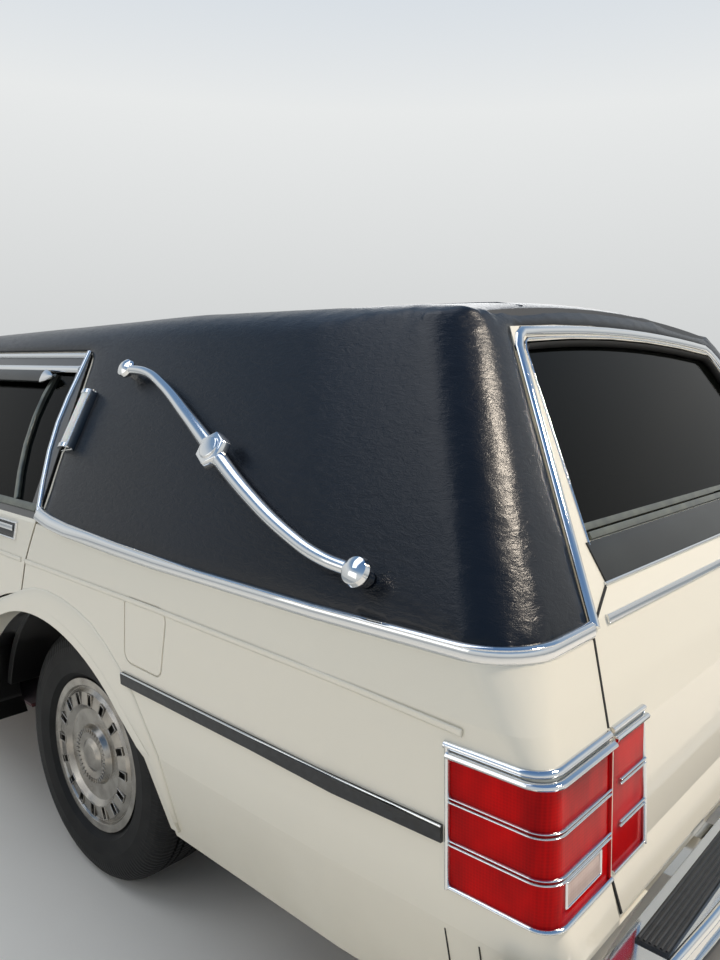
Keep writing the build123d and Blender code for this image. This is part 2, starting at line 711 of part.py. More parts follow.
def make_gate():
    """The side-hinged rear gate with its window."""
    gate = gate_prism() & gate_band(0.0, GATE_WALL)
    top = GATE_WINDOW_TOP_HALF
    window = both([(GATE_WINDOW_LOW_HALF, GATE_WINDOW_LOW_Z), (top, GATE_WINDOW_TOP_Z),
                   (top * 0.6, GATE_WINDOW_TOP_Z + GATE_ARCH * 0.64),
                   (top * 0.2, GATE_WINDOW_TOP_Z + GATE_ARCH * 0.96)])
    hole = along_y(window, TAIL_BELT_Y - 600.0, FAR)
    keep("tailgate", gate - hole)
    keep("tailgate_glass", gate_band(GATE_GLASS_DEPTH, GLASS) & hole)


def side_striker(y0, y1, z):
    """A latch striker that stands out of a pillar's flank towards its door."""
    x = side_half(z) - STRIKER_DEPTH
    return rod(STRIKER_RADIUS, (x, y0, z), (x, y1, z))


def make_quarters():
    """Rear quarter panels with wheelhouses, pillars and lamp corners."""
    behind = box(0.0, FAR, PILLAR_SPLIT_Y, FAR, 0.0, FAR)
    side = WALL_LOW & behind
    side = side - box(0.0, FAR, 0.0, REAR_AXLE_Y - ARCH_LEG[0], 0.0, SILL_SPLIT_Z)
    side = side - box(0.0, FAR, REAR_AXLE_Y, FAR, 0.0, QUARTER_LOW_Z)
    side = side - arch(REAR_AXLE_Y) + arch_lip(REAR_AXLE_Y)
    outside = BELT_HALF - DOOR_WALL + 4.0
    wheelhouse = wheel_disc(WELL_RADIUS + WELL_THICK, REAR_AXLE_Y, DECK_HALF + SEAT, outside)
    wheelhouse = wheelhouse & box(0, FAR, -FAR, FAR, AXLE_Z + 80.0, FAR)
    wheelhouse = wheelhouse - wheel_disc(WELL_RADIUS, REAR_AXLE_Y, DECK_HALF + 18.0, FAR)
    upper = (STEEL_HIGH - CAVITY_HIGH) & behind & box(0, FAR, -FAR, FAR, BELT_Z, ROOF_SPLIT_Z)
    whole = side + wheelhouse + upper - REAR_OPENING
    whole = whole - gate_prism(GAP) - box(0, DECK_EDGE, REAR_AXLE_Y + 900.0, FAR, 0.0, BELT_Z)
    edge = rear_edge(REAR_STRIKER_Z)
    striker = side_striker(edge + 20.0, edge - 50.0, REAR_STRIKER_Z)
    striker = striker - lower_prism(rear_door_face(), HINGE_REACH, REAR_DRAFT, SEAT)
    return whole + striker


def fuel_groove():
    """The shut line round the fuel door."""
    outline = make_face(Polyline(*FUEL_DOOR, close=True))
    outline = fillet(outline.vertices(), radius=FUEL_CORNER)
    ring = offset(outline, amount=GROOVE_WIDTH) - outline
    ring = extrude(Plane.YZ.offset(BODY_HALF - 60.0) * ring, amount=100.0)
    return ring - lower_body(GROOVE_DEPTH, top=False)


def make_roof():
    """Roof with its header, the windshield pillars and the centre pillars."""
    shell = STEEL_HIGH - CAVITY_HIGH
    roof = shell & box(-FAR, FAR, -FAR, FAR, ROOF_SPLIT_Z, FAR)
    pillars = shell & box(-FAR, FAR, -FAR, PILLAR_SPLIT_Y, BELT_Z, ROOF_SPLIT_Z)
    roof = roof + pillars
    for opening in (FRONT_OPENING, REAR_OPENING):
        roof = roof - opening - on_right(opening)
    screen = both([(SCREEN_LOW_HALF, SCREEN_LOW_Z), (SCREEN_TOP_HALF, SCREEN_TOP_Z)])
    screen = along_y(screen, WINDSHIELD_BASE_Y - 160.0, WINDSHIELD_BASE_Y + 840.0)
    roof = roof - screen - gate_prism(GAP)
    keep("roof_frame", roof)
    pane = (behind_windshield(WINDSHIELD_DEPTH) - behind_windshield(WINDSHIELD_DEPTH + GLASS)) & screen
    keep("windshield", pane & greenhouse(2.0))


def make_vinyl():
    """Padded covering over the roof and the rear quarters."""
    skin = SKIN_HIGH - STEEL_HIGH
    above = box(-FAR, FAR, -FAR, FAR, ROOF_SPLIT_Z, FAR)
    cover = skin & (above + box(-FAR, FAR, REAR_FRAME_TOP_Y - 20.0, FAR, BELT_Z, ROOF_SPLIT_Z))
    cover = cover - REAR_OPENING - on_right(REAR_OPENING) - gate_prism(GAP)
    keep("roof_covering", cover)


def make_side_frames():
    """Sill boxes, hinge pillars and the lower centre pillars, joined under the doors."""
    start = FRONT_DOOR_Y - GAP + SEAT
    wall = WALL_LOW & (box(0, FAR, start, PILLAR_SPLIT_Y, SILL_Z, FAR)
                       + box(0, FAR, start, REAR_AXLE_Y - ARCH_LEG[0], SILL_Z, SILL_SPLIT_Z))
    wall = wall - FRONT_OPENING - REAR_OPENING
    skin = SKIN_LOW - lower_body(SHEET, top=False, reach=200.0)
    wall = wall - (skin & box(0, FAR, start, PILLAR_SPLIT_Y + 1.0, DOOR_BOTTOM_Z, FAR))
    x0, x1 = HINGE_PILLAR_X
    pillar = box(x0, x1, FIREWALL_Y + 12.0, FRONT_DOOR_Y - GAP - 6.0, SILL_Z, COWL_Z - SHEET - SEAT)
    foot = box(x0, x1, FIREWALL_Y + 12.0, start + 30.0, SILL_Z, DOOR_BOTTOM_Z - GAP)
    striker = side_striker(CENTRE_Y + 10.0, CENTRE_Y - 40.0, FRONT_STRIKER_Z)
    striker = striker - lower_prism(front_door_face(), HINGE_REACH, FRONT_DRAFT, SEAT)
    return wall + pillar + foot + striker


def front_shell(thick):
    """Closed-top shell of the lower body, for the panels ahead of the doors."""
    return lower_body(0.0) - lower_body(thick)


def hood_under(y):
    """Height of the hood's underside."""
    return NOSE_TOP_Z - SHEET + (COWL_Z - NOSE_TOP_Z) * (y - NOSE_Y) / (COWL_Y - NOSE_Y)


def make_front():
    """Fenders, hood, nose panel, cowl and firewall."""
    shell = front_shell(SHEET)
    fender = shell & box(HOOD_HALF + GAP / 2, FAR, FENDER_FRONT_Y, FRONT_DOOR_Y - GAP, SILL_Z, FAR)
    fender = fender - arch(FRONT_AXLE_Y) + arch_lip(FRONT_AXLE_Y)
    keep("front_fenders", fender + on_right(fender))
    hood = shell & box(-HOOD_HALF + GAP / 2, HOOD_HALF - GAP / 2, HOOD_FRONT_Y, COWL_Y - GAP, HOOD_LOW_Z, FAR)
    keep("hood", hood)
    nose = front_shell(40.0) & box(-FAR, FAR, NOSE_Y - 10.0, FENDER_FRONT_Y - SEAT, BUMPER_TOP_Z - 20.0, FAR)
    nose = nose - box(-HOOD_HALF - GAP / 2, HOOD_HALF + GAP / 2, HOOD_FRONT_Y - GAP, FAR, HOOD_LOW_Z, FAR)
    nose = nose - box(-GRILLE_HALF, GRILLE_HALF, NOSE_Y - 20.0, NOSE_Y + 60.0, GRILLE_LOW_Z, GRILLE_TOP_Z)
    for sign in (1, -1):
        x0, x1 = sorted((sign * HEADLAMP_IN_X, sign * HEADLAMP_OUT_X))
        nose = nose - box(x0, x1, NOSE_Y - 20.0, NOSE_Y + 100.0, HEADLAMP_LOW_Z, HEADLAMP_TOP_Z)
    tie_z = hood_under(TIE_Y) - 40.0
    nose = nose + box(-TIE_HALF, TIE_HALF, NOSE_Y + 40.0, FENDER_FRONT_Y - SEAT, tie_z - 18.0, tie_z)
    for x in (-STOP_X, STOP_X):
        stop = STOP_RADIUS
        nose = nose + rod(stop, (x, TIE_Y, tie_z), (x, TIE_Y, hood_under(TIE_Y - stop) - SEAT))
    keep("nose_panel", nose)
    cowl = box(-HOOD_HALF, HOOD_HALF, COWL_Y, FIREWALL_Y + 12.0, COWL_Z - SHEET, COWL_Z - SEAT)
    cowl = cowl + box(-FIREWALL_HALF, FIREWALL_HALF, FIREWALL_Y, FIREWALL_Y + 12.0, FLOOR_Z, COWL_Z - SHEET)
    keep("cowl", cowl)


def make_grille():
    """Grille frame with upright bars, and the lamp pairs beside it."""
    rim = GRILLE_RIM
    y0 = NOSE_Y - 14.0
    y1 = NOSE_Y + 38.0
    frame = box(-GRILLE_HALF, GRILLE_HALF, y0, y1, GRILLE_LOW_Z, GRILLE_TOP_Z)
    frame = frame - box(-GRILLE_HALF + rim, GRILLE_HALF - rim, y0 - 1, y1 + 1,
                        GRILLE_LOW_Z + rim, GRILLE_TOP_Z - rim)
    pitch = 2 * (GRILLE_HALF - rim) / (GRILLE_BARS + 1)
    for index in range(GRILLE_BARS):
        x = -GRILLE_HALF + rim + pitch * (index + 1)
        frame = frame + box(x - 4.0, x + 4.0, y0 + 6.0, y1 - 8.0, GRILLE_LOW_Z + rim, GRILLE_TOP_Z - rim)
    keep("grille", frame)
    middle = (HEADLAMP_IN_X + HEADLAMP_OUT_X) / 2
    back = box(HEADLAMP_IN_X, HEADLAMP_OUT_X, NOSE_Y + 30.0, NOSE_Y + 60.0, HEADLAMP_LOW_Z, HEADLAMP_TOP_Z)
    for x0, x1 in ((HEADLAMP_IN_X, middle - HEADLAMP_SPLIT), (middle + HEADLAMP_SPLIT, HEADLAMP_OUT_X)):
        back = back + box(x0, x1, NOSE_Y + 4.0, NOSE_Y + 31.0, HEADLAMP_LOW_Z, HEADLAMP_TOP_Z)
    keep("headlamps", back + on_right(back))


def bumper(sign, name, wrap, corner, rail_y):
    """A bumper beam with wrapped ends and its two brackets. sign is -1 at the front, 1 at the rear."""
    face = LENGTH / 2
    back = face - BUMPER_DEPTH
    inside = BUMPER_HALF - BUMPER_WALL
    outer = [(BUMPER_HALF, face - wrap), (BUMPER_HALF, face - corner), (BUMPER_HALF - 90.0, face - 28.0),
             (BUMPER_HALF - 600.0, face)]
    inner = [(BUMPER_HALF - 700.0, back), (BUMPER_HALF - 60.0, back), (inside, face - corner - BUMPER_WALL),
             (inside, face - wrap)]
    points = [(x, sign * y) for x, y in outer] + [(-x, sign * y) for x, y in reversed(outer)]
    points += [(-x, sign * y) for x, y in reversed(inner)] + [(x, sign * y) for x, y in inner]
    beam = along_z(points, BUMPER_LOW_Z, BUMPER_TOP_Z)
    if sign > 0:
        for x in (-PLATE_PITCH / 2, PLATE_PITCH / 2):
            beam = beam - rod(PLATE_HOLE, (x, face - 30.0, PLATE_Z), (x, face + 1.0, PLATE_Z))
    for side in (1, -1):
        y0, y1 = sorted((sign * (back + 8.0), rail_y))
        x0 = side * RAIL_X - RAIL_WIDTH / 2
        beam = beam + box(x0, x0 + RAIL_WIDTH, y0, y1, BUMPER_LOW_Z + 20.0, BUMPER_TOP_Z - 20.0)
    keep(name, beam)


def make_frame():
    """Two side rails that step up over the rear axle, with cross members below them."""
    front = RAIL_FRONT_Y
    rear = RAIL_REAR_Y
    low = RAIL_TOP_Z - RAIL_HEIGHT
    step = KICK_Y + FLOOR_THICK
    side = [(front, low), (step + 75.0, low), (step + 105.0, REAR_RAIL_TOP_Z - RAIL_HEIGHT),
            (rear, REAR_RAIL_TOP_Z - RAIL_HEIGHT), (rear, REAR_RAIL_TOP_Z), (step, REAR_RAIL_TOP_Z),
            (step, RAIL_TOP_Z), (front, RAIL_TOP_Z)]
    rail = along_x(side, RAIL_X - RAIL_WIDTH / 2, RAIL_X + RAIL_WIDTH / 2)
    horn = box(RAIL_X - RAIL_WIDTH / 2, RAIL_X + RAIL_WIDTH / 2, front, front + 90.0, RAIL_TOP_Z,
               BUMPER_TOP_Z - 20.0)
    frame = rail + horn + on_right(rail + horn)
    reach = RAIL_X + RAIL_WIDTH / 2
    for y in (front + 60.0, FRONT_AXLE_Y - 45.0, -300.0, KICK_Y - 120.0):
        frame = frame + box(-reach, reach, y, y + 90.0, low - 22.0, low)
    inner = RAIL_X - RAIL_WIDTH / 2
    for y in (REAR_AXLE_Y - 253.0, REAR_AXLE_Y + 367.0, rear - CROSS_REACH):
        frame = frame + box(-inner, inner, y, y + 60.0, REAR_RAIL_TOP_Z - 60.0, REAR_RAIL_TOP_Z - 10.0)
    keep("chassis_frame", frame)


def make_floor():
    """Floor with the step over the rear axle, the raised load deck and its rollers."""
    inside = lower_body(DOOR_WALL + SEAT, top=False, reach=200.0)
    behind = BEHIND_WELL_Y
    rear = RAIL_REAR_Y
    floor = box(-FAR, FAR, FIREWALL_Y, KICK_Y - 24.0 - SEAT, FLOOR_Z - FLOOR_THICK, FLOOR_Z)
    kick = KICK_Y + FLOOR_THICK
    floor = floor + box(-DECK_HALF, DECK_HALF, KICK_Y - 30.0, kick, FLOOR_Z - FLOOR_THICK, FLOOR_Z)
    floor = floor + box(-DECK_HALF, DECK_HALF, KICK_Y, kick, FLOOR_Z, KICK_Z)
    floor = floor + box(-DECK_HALF, DECK_HALF, KICK_Y, rear, KICK_Z - FLOOR_THICK, KICK_Z)
    floor = floor + box(-FAR, FAR, behind, TAIL_Y - DOOR_WALL - 2.0, KICK_Z - FLOOR_THICK, KICK_Z)
    keep("floor_pan", floor & inside)
    panel = DECK_PANEL
    deck = box(-DECK_HALF, DECK_HALF, DECK_FRONT_Y, rear, DECK_Z - panel, DECK_Z)
    deck = deck + box(-DECK_HALF, DECK_HALF, DECK_FRONT_Y, DECK_FRONT_Y + panel, FLOOR_Z, DECK_Z)
    deck = deck + box(-FAR, FAR, behind, TAIL_Y - DOOR_WALL - 2.0, DECK_Z - panel, DECK_Z)
    for sign in (1, -1):
        x0, x1 = sorted((sign * DECK_HALF, sign * (DECK_HALF - panel)))
        deck = deck + box(x0, x1, DECK_FRONT_Y, KICK_Y, FLOOR_Z, DECK_Z)
        deck = deck + box(x0, x1, KICK_Y, rear, KICK_Z, DECK_Z)
    keep("load_deck", deck & lower_body(DOOR_WALL + SEAT, top=False, reach=200.0))
    fittings = None
    first = DECK_FRONT_Y + 170.0
    for y in [first + ROLLER_PITCH * index for index in range(ROLLERS)] + [rear - 84.0]:
        bar = box(-ROLLER_HALF - 20.0, ROLLER_HALF + 20.0, y - 30.0, y + 30.0, DECK_Z, DECK_Z + 4.0)
        axis_z = DECK_Z + ROLLER_RADIUS
        bar = bar + rod(ROLLER_RADIUS, (-ROLLER_HALF, y, axis_z), (ROLLER_HALF, y, axis_z))
        fittings = bar if fittings is None else fittings + bar
    for x in (-SKID_X, SKID_X):
        fittings = fittings + box(x - 14.0, x + 14.0, DECK_FRONT_Y + 60.0, rear - 60.0, DECK_Z, DECK_Z + 10.0)
    keep("deck_rollers", fittings)
    keep("rear_sill", box(-DECK_EDGE + SEAT, DECK_EDGE - SEAT, rear, TAIL_LIP_Y - 14.0, BUMPER_TOP_Z - 20.0,
                          GATE_BOTTOM_Z - GAP - 3.0))


def make_running_gear():
    """Rear axle, front suspension, knuckles, wheels and tyres."""
    hub = HUB_RADIUS
    shaft_z = AXLE_Z - SHAFT_DROP
    tube = REAR_TRACK / 2 - 88.0
    axle = rod(AXLE_TUBE, (-tube, REAR_AXLE_Y, AXLE_Z), (tube, REAR_AXLE_Y, AXLE_Z))
    axle = axle + rod(AXLE_BALL, (-95.0, REAR_AXLE_Y, AXLE_Z), (95.0, REAR_AXLE_Y, AXLE_Z))
    axle = axle + rod(48.0, (0, REAR_AXLE_Y - PINION_REACH + SEAT, shaft_z), (0, REAR_AXLE_Y, shaft_z))
    reach = REAR_TRACK / 2 + 12.0
    axle = axle + rod(hub, (-reach, REAR_AXLE_Y, AXLE_Z), (reach, REAR_AXLE_Y, AXLE_Z))
    rail_low = REAR_RAIL_TOP_Z - RAIL_HEIGHT
    for x in (-RAIL_X, RAIL_X):
        axle = axle + rod(SPRING_RADIUS, (x, REAR_AXLE_Y, AXLE_Z), (x, REAR_AXLE_Y, rail_low))
    keep("rear_axle", axle)
    shaft = rod(SHAFT_RADIUS, (0, REAR_AXLE_Y - PINION_REACH, shaft_z), (0, GEARBOX_REAR_Y + SEAT, shaft_z))
    keep("drive_shaft", shaft)
    low = RAIL_TOP_Z - RAIL_HEIGHT
    rail_side = RAIL_X + RAIL_WIDTH / 2
    pin_low = PIN_LOW_Z
    pin_top = PIN_TOP_Z
    arms = None
    tip = KINGPIN_X + 14.0
    outline = [(rail_side, FRONT_AXLE_Y - 95.0), (tip, FRONT_AXLE_Y - 24.0), (tip, FRONT_AXLE_Y + 24.0),
               (rail_side, FRONT_AXLE_Y + 95.0)]
    for z0 in (pin_low - SEAT - ARM_THICK, pin_top + SEAT):
        arm = along_z(outline, z0, z0 + ARM_THICK)
        arms = arm if arms is None else arms + arm
    tower = box(rail_side, rail_side + 14.0, FRONT_AXLE_Y - 95.0, FRONT_AXLE_Y + 95.0, low,
                pin_top + SEAT + ARM_THICK)
    coil_x = rail_side + 95.0
    coil = rod(44.0, (coil_x, FRONT_AXLE_Y, pin_low - SEAT), (coil_x, FRONT_AXLE_Y, pin_top + SEAT))
    side = arms + tower + coil
    keep("front_suspension", side + on_right(side))
    knuckle = rod(20.0, (KINGPIN_X, FRONT_AXLE_Y, pin_low), (KINGPIN_X, FRONT_AXLE_Y, pin_top))
    spindle = FRONT_TRACK / 2 + 12.0
    knuckle = knuckle + rod(hub, (KINGPIN_X, FRONT_AXLE_Y, AXLE_Z), (spindle, FRONT_AXLE_Y, AXLE_Z))
    arm_z = AXLE_Z - 45.0
    arm_y = FRONT_AXLE_Y + 120.0
    knuckle = knuckle + box(KINGPIN_X - 12.0, KINGPIN_X + 10.0, FRONT_AXLE_Y, arm_y, arm_z, arm_z + 22.0)
    keep("knuckle_left", knuckle)
    keep("knuckle_right", on_right(knuckle))
    for end, y, track in (("front", FRONT_AXLE_Y, FRONT_TRACK), ("rear", REAR_AXLE_Y, REAR_TRACK)):
        wheel, tyre = make_wheel(hub + RUN)
        wheel = Pos(track / 2, y, AXLE_Z) * wheel
        tyre = Pos(track / 2, y, AXLE_Z) * tyre
        keep(f"wheel_{end}_left", wheel)
        keep(f"wheel_{end}_right", on_right(wheel))
        keep(f"tyre_{end}_left", tyre)
        keep(f"tyre_{end}_right", on_right(tyre))


def spun(points):
    """A section in (x, radius), turned about the X axis."""
    face = make_face(Polyline(*[(x, r, 0.0) for x, r in points], close=True))
    return revolve(face, axis=Axis.X, revolution_arc=360)


def make_wheel(bore):
    """Steel wheel with its full cover, and the tyre, about the origin with the outside at +X."""
    flange = 84.0
    lip = flange + 8.0
    wheel = spun([(-lip, RIM_RADIUS + 12), (-flange, RIM_RADIUS + 12), (-flange, RIM_RADIUS),
                  (flange, RIM_RADIUS), (flange, RIM_RADIUS + 12), (lip, RIM_RADIUS + 12),
                  (lip, 184.0), (lip - 8, 178.0), (lip + 2, 166.0), (lip + 6, 134.0), (lip - 6, 120.0),
                  (lip - 8, 80.0), (lip + 6, 72.0), (lip + 6, 62.0), (lip + 2, 44.0), (lip + 10, 30.0),
                  (lip + 10, 0.0), (60.0, 0.0),
                  (60.0, 50.0), (30.0, 50.0), (30.0, RIM_RADIUS - 13), (-lip, RIM_RADIUS - 13)])
    hub = spun([(-20.0, 60.0), (45.0, 60.0), (45.0, bore), (-20.0, bore)])
    depth, width, length = COVER_SLOT
    for index in range(COVER_SLOTS):
        slot = Pos(lip + 6.0 - depth / 2, 0, 150.0) * Box(depth + 8.0, width, length)
        wheel = wheel - slot.rotate(Axis.X, index * 360.0 / COVER_SLOTS)
    half = TYRE_WIDTH / 2
    seat = RIM_RADIUS + 13.0
    side = [(flange, RIM_RADIUS), (flange, seat), (half - 6, seat + 16), (half, 256.0), (half - 3, 288.0),
            (half - 9, 308.0), (half - 17, 320.0), (half - 28, TYRE_RADIUS - 6), (half - 46, TYRE_RADIUS - 1)]
    tread = []
    for x in (half - 60.0, 24.0):
        tread += [(x, TYRE_RADIUS), (x, TYRE_RADIUS - 8), (x - 8, TYRE_RADIUS - 8), (x - 8, TYRE_RADIUS)]
    half_line = side + tread
    tyre = spun(half_line + [(-x, r) for x, r in reversed(half_line)])
    return wheel + hub, tyre


def make_drive():
    """Engine with gearbox, exhaust and fuel tank."""
    engine = box(-270.0, 270.0, -2240.0, -1340.0, RAIL_TOP_Z, 790.0)
    engine = engine + box(-120.0, 120.0, -1340.0, FIREWALL_Y - 10.0, 240.0, 470.0)
    tail_low = AXLE_Z - SHAFT_DROP - 60.0
    under = FLOOR_Z - FLOOR_THICK - SEAT
    engine = engine + box(-70.0, 70.0, FIREWALL_Y - 10.0, GEARBOX_REAR_Y, tail_low, under)
    mount_y = FRONT_AXLE_Y - 90.0
    engine = engine + box(-RAIL_X, RAIL_X, mount_y, mount_y + 60.0, RAIL_TOP_Z, RAIL_TOP_Z + 24.0)
    keep("engine_block", engine)
    x = 300.0
    pipe = FilletPolyline((-x, -1300, 262), (-x, 640, 262), (-x - 25, 960, 300), (-515, 1100, 420),
                          (-515, 1720, 420), (-640, 1960, 330), (-640, LENGTH / 2 - 160, 330), radius=60)
    line = sweep(Plane(origin=pipe @ 0, z_dir=pipe % 0) * Circle(26.0), path=pipe)
    line = line + box(-x - 80.0, -x + 80.0, 60.0, 600.0, 214.0, under)
    line = line + box(-645.0, -635.0, 2090.0, 2115.0, 330.0, KICK_Z - FLOOR_THICK - SEAT)
    keep("exhaust", line)
    tank_rear = RAIL_REAR_Y - CROSS_REACH - TANK_CLEAR
    keep("fuel_tank", box(-TANK_HALF, TANK_HALF, TANK_FRONT_Y, tank_rear, TANK_LOW_Z, KICK_Z - FLOOR_THICK - SEAT))


def make_cabin():
    """Dashboard, steering wheel with column, and the front bench."""
    hub = STEERING_HUB
    tilt = Vector(0, 0.86, 0.5)
    foot = Vector(*hub) - tilt.normalized() * 210.0
    column = rod(24.0, tuple(foot), hub)
    back_y = FIREWALL_Y + 12.0
    dash = along_x([(back_y, 640.0), (-720.0, 640.0), (-650.0, 760.0), (-650.0, 890.0), (-700.0, 930.0),
                    (back_y, COWL_Z - SHEET)], -DASH_HALF, DASH_HALF)
    keep("dashboard", dash - column)
    plane = Plane(origin=hub, x_dir=(1, 0, 0), z_dir=tilt)
    ring = plane * Torus(STEERING_RING, 13.0)
    spoke = plane * Box(2 * STEERING_RING - 10.0, 34.0, 16.0)
    keep("steering_wheel", ring + spoke + column)
    wide = SEAT_HALF
    base = box(10.0 - wide, wide - 10.0, -180.0, 330.0, FLOOR_Z, 440.0)
    base = base + box(-wide, wide, -240.0, 330.0, 440.0, 590.0)
    back = along_x([(170.0, 590.0), (330.0, 590.0), (430.0, 1000.0), (330.0, 1000.0)], -wide, wide)
    keep("front_seat", base + back)


def belt_ring():
    """The belt trim: along the side, round the rear corner and up to the gate."""
    def plug(inset, margin):
        ends = [tail_section(z, BELT_HALF, TAIL_BELT_Y, TAIL_CORNER, inset)
                for z in (TRIM_LOW_Z - margin, TRIM_TOP_Z + margin)]
        return loft(ends, ruled=True)
    ring = plug(-TRIM_PROUD, 0.0) & box(0, FAR, rear_edge(TRIM_TOP_Z) + GAP, FAR, 0, FAR)
    return ring - plug(30.0, 1.0) - SKIN_LOW - SKIN_HIGH - gate_prism(GAP)


def make_landau_bar():
    """The left landau bar on its three posts."""
    outward = UPPER_SIDE.z_dir

    def stand(y, z, out):
        return Vector(lean_half(z), y, z) + outward * out
    path = FilletPolyline(*[stand(y, z, LANDAU_OUT) for y, z in LANDAU_LINE], radius=LANDAU_BEND)
    bar = sweep(Plane(origin=path @ 0, z_dir=path % 0) * Circle(LANDAU_RADIUS), path=path)
    for (y, z), radius, out in zip(LANDAU_POSTS, (20.0, 29.0, 22.0), (38.0, 44.0, 44.0)):
        bar = bar + rod(radius * 0.7, tuple(stand(y, z, 0.0)), tuple(stand(y, z, 20.0)))
        bar = bar + rod(radius, tuple(stand(y, z, 14.0)), tuple(stand(y, z, out)))
    return bar


def make_ornaments():
    """Belt trim, landau bars, opera lamps and tail lamps."""
    trim = belt_ring()
    keep("belt_trim", trim + on_right(trim))
    bar = make_landau_bar()
    keep("landau_bars", bar + on_right(bar))
    lamp = upper_prism(OPERA_LAMP, 0.0, 0.0, proud=OPERA_OUT)
    keep("opera_lamps", lamp + on_right(lamp))
    block = box(0, FAR, LAMP_FRONT_Y, FAR, LAMP_LOW_Z, LAMP_TOP_Z)
    shell = SKIN_LOW - lower_body(LAMP_DEPTH, top=False, reach=200.0)
    corner = (shell & block & box(DECK_EDGE, FAR, 0, FAR, 0, FAR)) - gate_prism(GAP)
    keep("tail_lamps", corner + on_right(corner))
    quarter = make_quarters() - corner
    latch_y = gate_skin(GATE_STRIKER_Z) - 36.0
    latch_z = GATE_STRIKER_Z
    flank = GATE_BELT_HALF
    striker = rod(STRIKER_RADIUS, (-flank - 20.0, latch_y, latch_z), (60.0 - flank, latch_y, latch_z))
    striker = striker - gate_prism(SEAT)
    keep("quarter_panels", quarter - fuel_groove() + on_right(quarter) + striker)
    frame = make_side_frames()
    keep("side_frames", frame + on_right(frame))
    inner = box(LAMP_IN_X, GATE_HALF - 6.0, 0, FAR, LAMP_LOW_Z, LAMP_TOP_Z) & gate_band(0.0, 30.0)
    keep("tailgate_lamps", inner + on_right(inner))
    parts["tailgate"] = parts["tailgate"] - inner - on_right(inner)


for step in (make_roof, make_vinyl, make_gate, make_front, make_grille,
             make_frame, make_floor, make_running_gear, make_drive, make_cabin, make_ornaments):
    step()
front_window, rear_window = door_windows()
make_door("front_door", front_door_face(), FRONT_DOOR_UPPER, FRONT_DRAFT, front_window, mirror_head())
make_door("rear_door", rear_door_face(), REAR_DOOR_UPPER, REAR_DRAFT, rear_window)
bumper(-1, "front_bumper", FRONT_WRAP, FRONT_CORNER, RAIL_FRONT_Y)
bumper(1, "rear_bumper", REAR_WRAP, REAR_CORNER, RAIL_REAR_Y)

for name, shape in parts.items():
    solids = shape.solids()
    print(name, len(solids), [round(s.volume / 1e6, 2) for s in solids][:6])
    export_step(shape, f"parts/{name}.step")
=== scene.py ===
# %% [markdown]
# # A hearse, dressed for the studio
# The car's solids are already built at their real size, each on the body that moves it. This lesson
# gives them their finishes and adds what a solid model leaves out: the padded vinyl roof, bright
# trim, lamp lenses, tyre tread and the rubber and leather inside.
# Everything is in metres, +X is the car's left side, +Y its rear and +Z up.

import math

import bmesh
import bpy
from mathutils import Matrix, Vector


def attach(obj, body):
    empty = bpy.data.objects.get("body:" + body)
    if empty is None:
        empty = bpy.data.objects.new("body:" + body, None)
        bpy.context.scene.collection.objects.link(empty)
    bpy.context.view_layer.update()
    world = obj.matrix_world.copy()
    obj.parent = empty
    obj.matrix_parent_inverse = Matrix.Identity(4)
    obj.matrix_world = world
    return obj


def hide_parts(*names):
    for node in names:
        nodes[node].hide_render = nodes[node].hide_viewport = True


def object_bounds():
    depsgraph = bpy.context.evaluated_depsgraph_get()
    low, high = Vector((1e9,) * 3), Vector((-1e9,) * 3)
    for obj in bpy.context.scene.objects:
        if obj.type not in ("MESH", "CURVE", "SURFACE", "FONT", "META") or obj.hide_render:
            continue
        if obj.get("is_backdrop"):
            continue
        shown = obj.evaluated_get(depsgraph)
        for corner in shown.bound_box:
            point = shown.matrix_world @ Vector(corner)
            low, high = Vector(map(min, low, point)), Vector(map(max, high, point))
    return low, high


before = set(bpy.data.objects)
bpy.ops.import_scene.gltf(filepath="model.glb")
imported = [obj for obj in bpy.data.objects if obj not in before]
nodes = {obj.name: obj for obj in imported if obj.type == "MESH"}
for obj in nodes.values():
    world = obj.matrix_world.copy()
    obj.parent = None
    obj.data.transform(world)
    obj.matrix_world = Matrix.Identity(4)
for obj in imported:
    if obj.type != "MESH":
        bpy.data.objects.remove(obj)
cad_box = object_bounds()
scene = bpy.context.scene
scene.view_settings.view_transform = "Standard"

# %% [markdown]
# The camera stands where the photographer stood, behind the left rear wheel, a little above the
# belt line, and is tipped by less than a degree. Its place and turn were worked out from points
# whose real place is known, such as the wheel, the lamp's corners and the rear window's frame.
# They are given as the directions of its right, its top and the way it looks.

# %% Camera
CAMERA_PLACE = Vector((1.844507, 3.058631, 1.338036))
CAMERA_RIGHT = Vector((-0.67081774, 0.74146514, 0.01526447))
CAMERA_UP = Vector((-0.09063228, -0.10239029, 0.99060689))
CAMERA_AHEAD = Vector((-0.73606341, -0.66313322, -0.13588590))
CAMERA_LENS = 29.317              # millimetres
CAMERA_SENSOR = 36.0              # for the long side
camera_data = bpy.data.cameras.new("camera")
camera_data.sensor_fit = "VERTICAL"
camera_data.sensor_height = CAMERA_SENSOR
camera_data.lens = CAMERA_LENS
camera = bpy.data.objects.new("camera", camera_data)
scene.collection.objects.link(camera)
camera.location = CAMERA_PLACE
camera.rotation_euler = Matrix((CAMERA_RIGHT, CAMERA_UP, -CAMERA_AHEAD)).transposed().to_euler()
scene.camera = camera

# %% [markdown]
# Paint and plastic colours are picked as sRGB hex values, the way a paint chip is named, but the
# renderer works with light, so one function turns a hex value into linear light. A second function
# adds a shader node: what it is given for a socket is a plain value or another node's output. The
# rest are short names for the nodes that come back often.


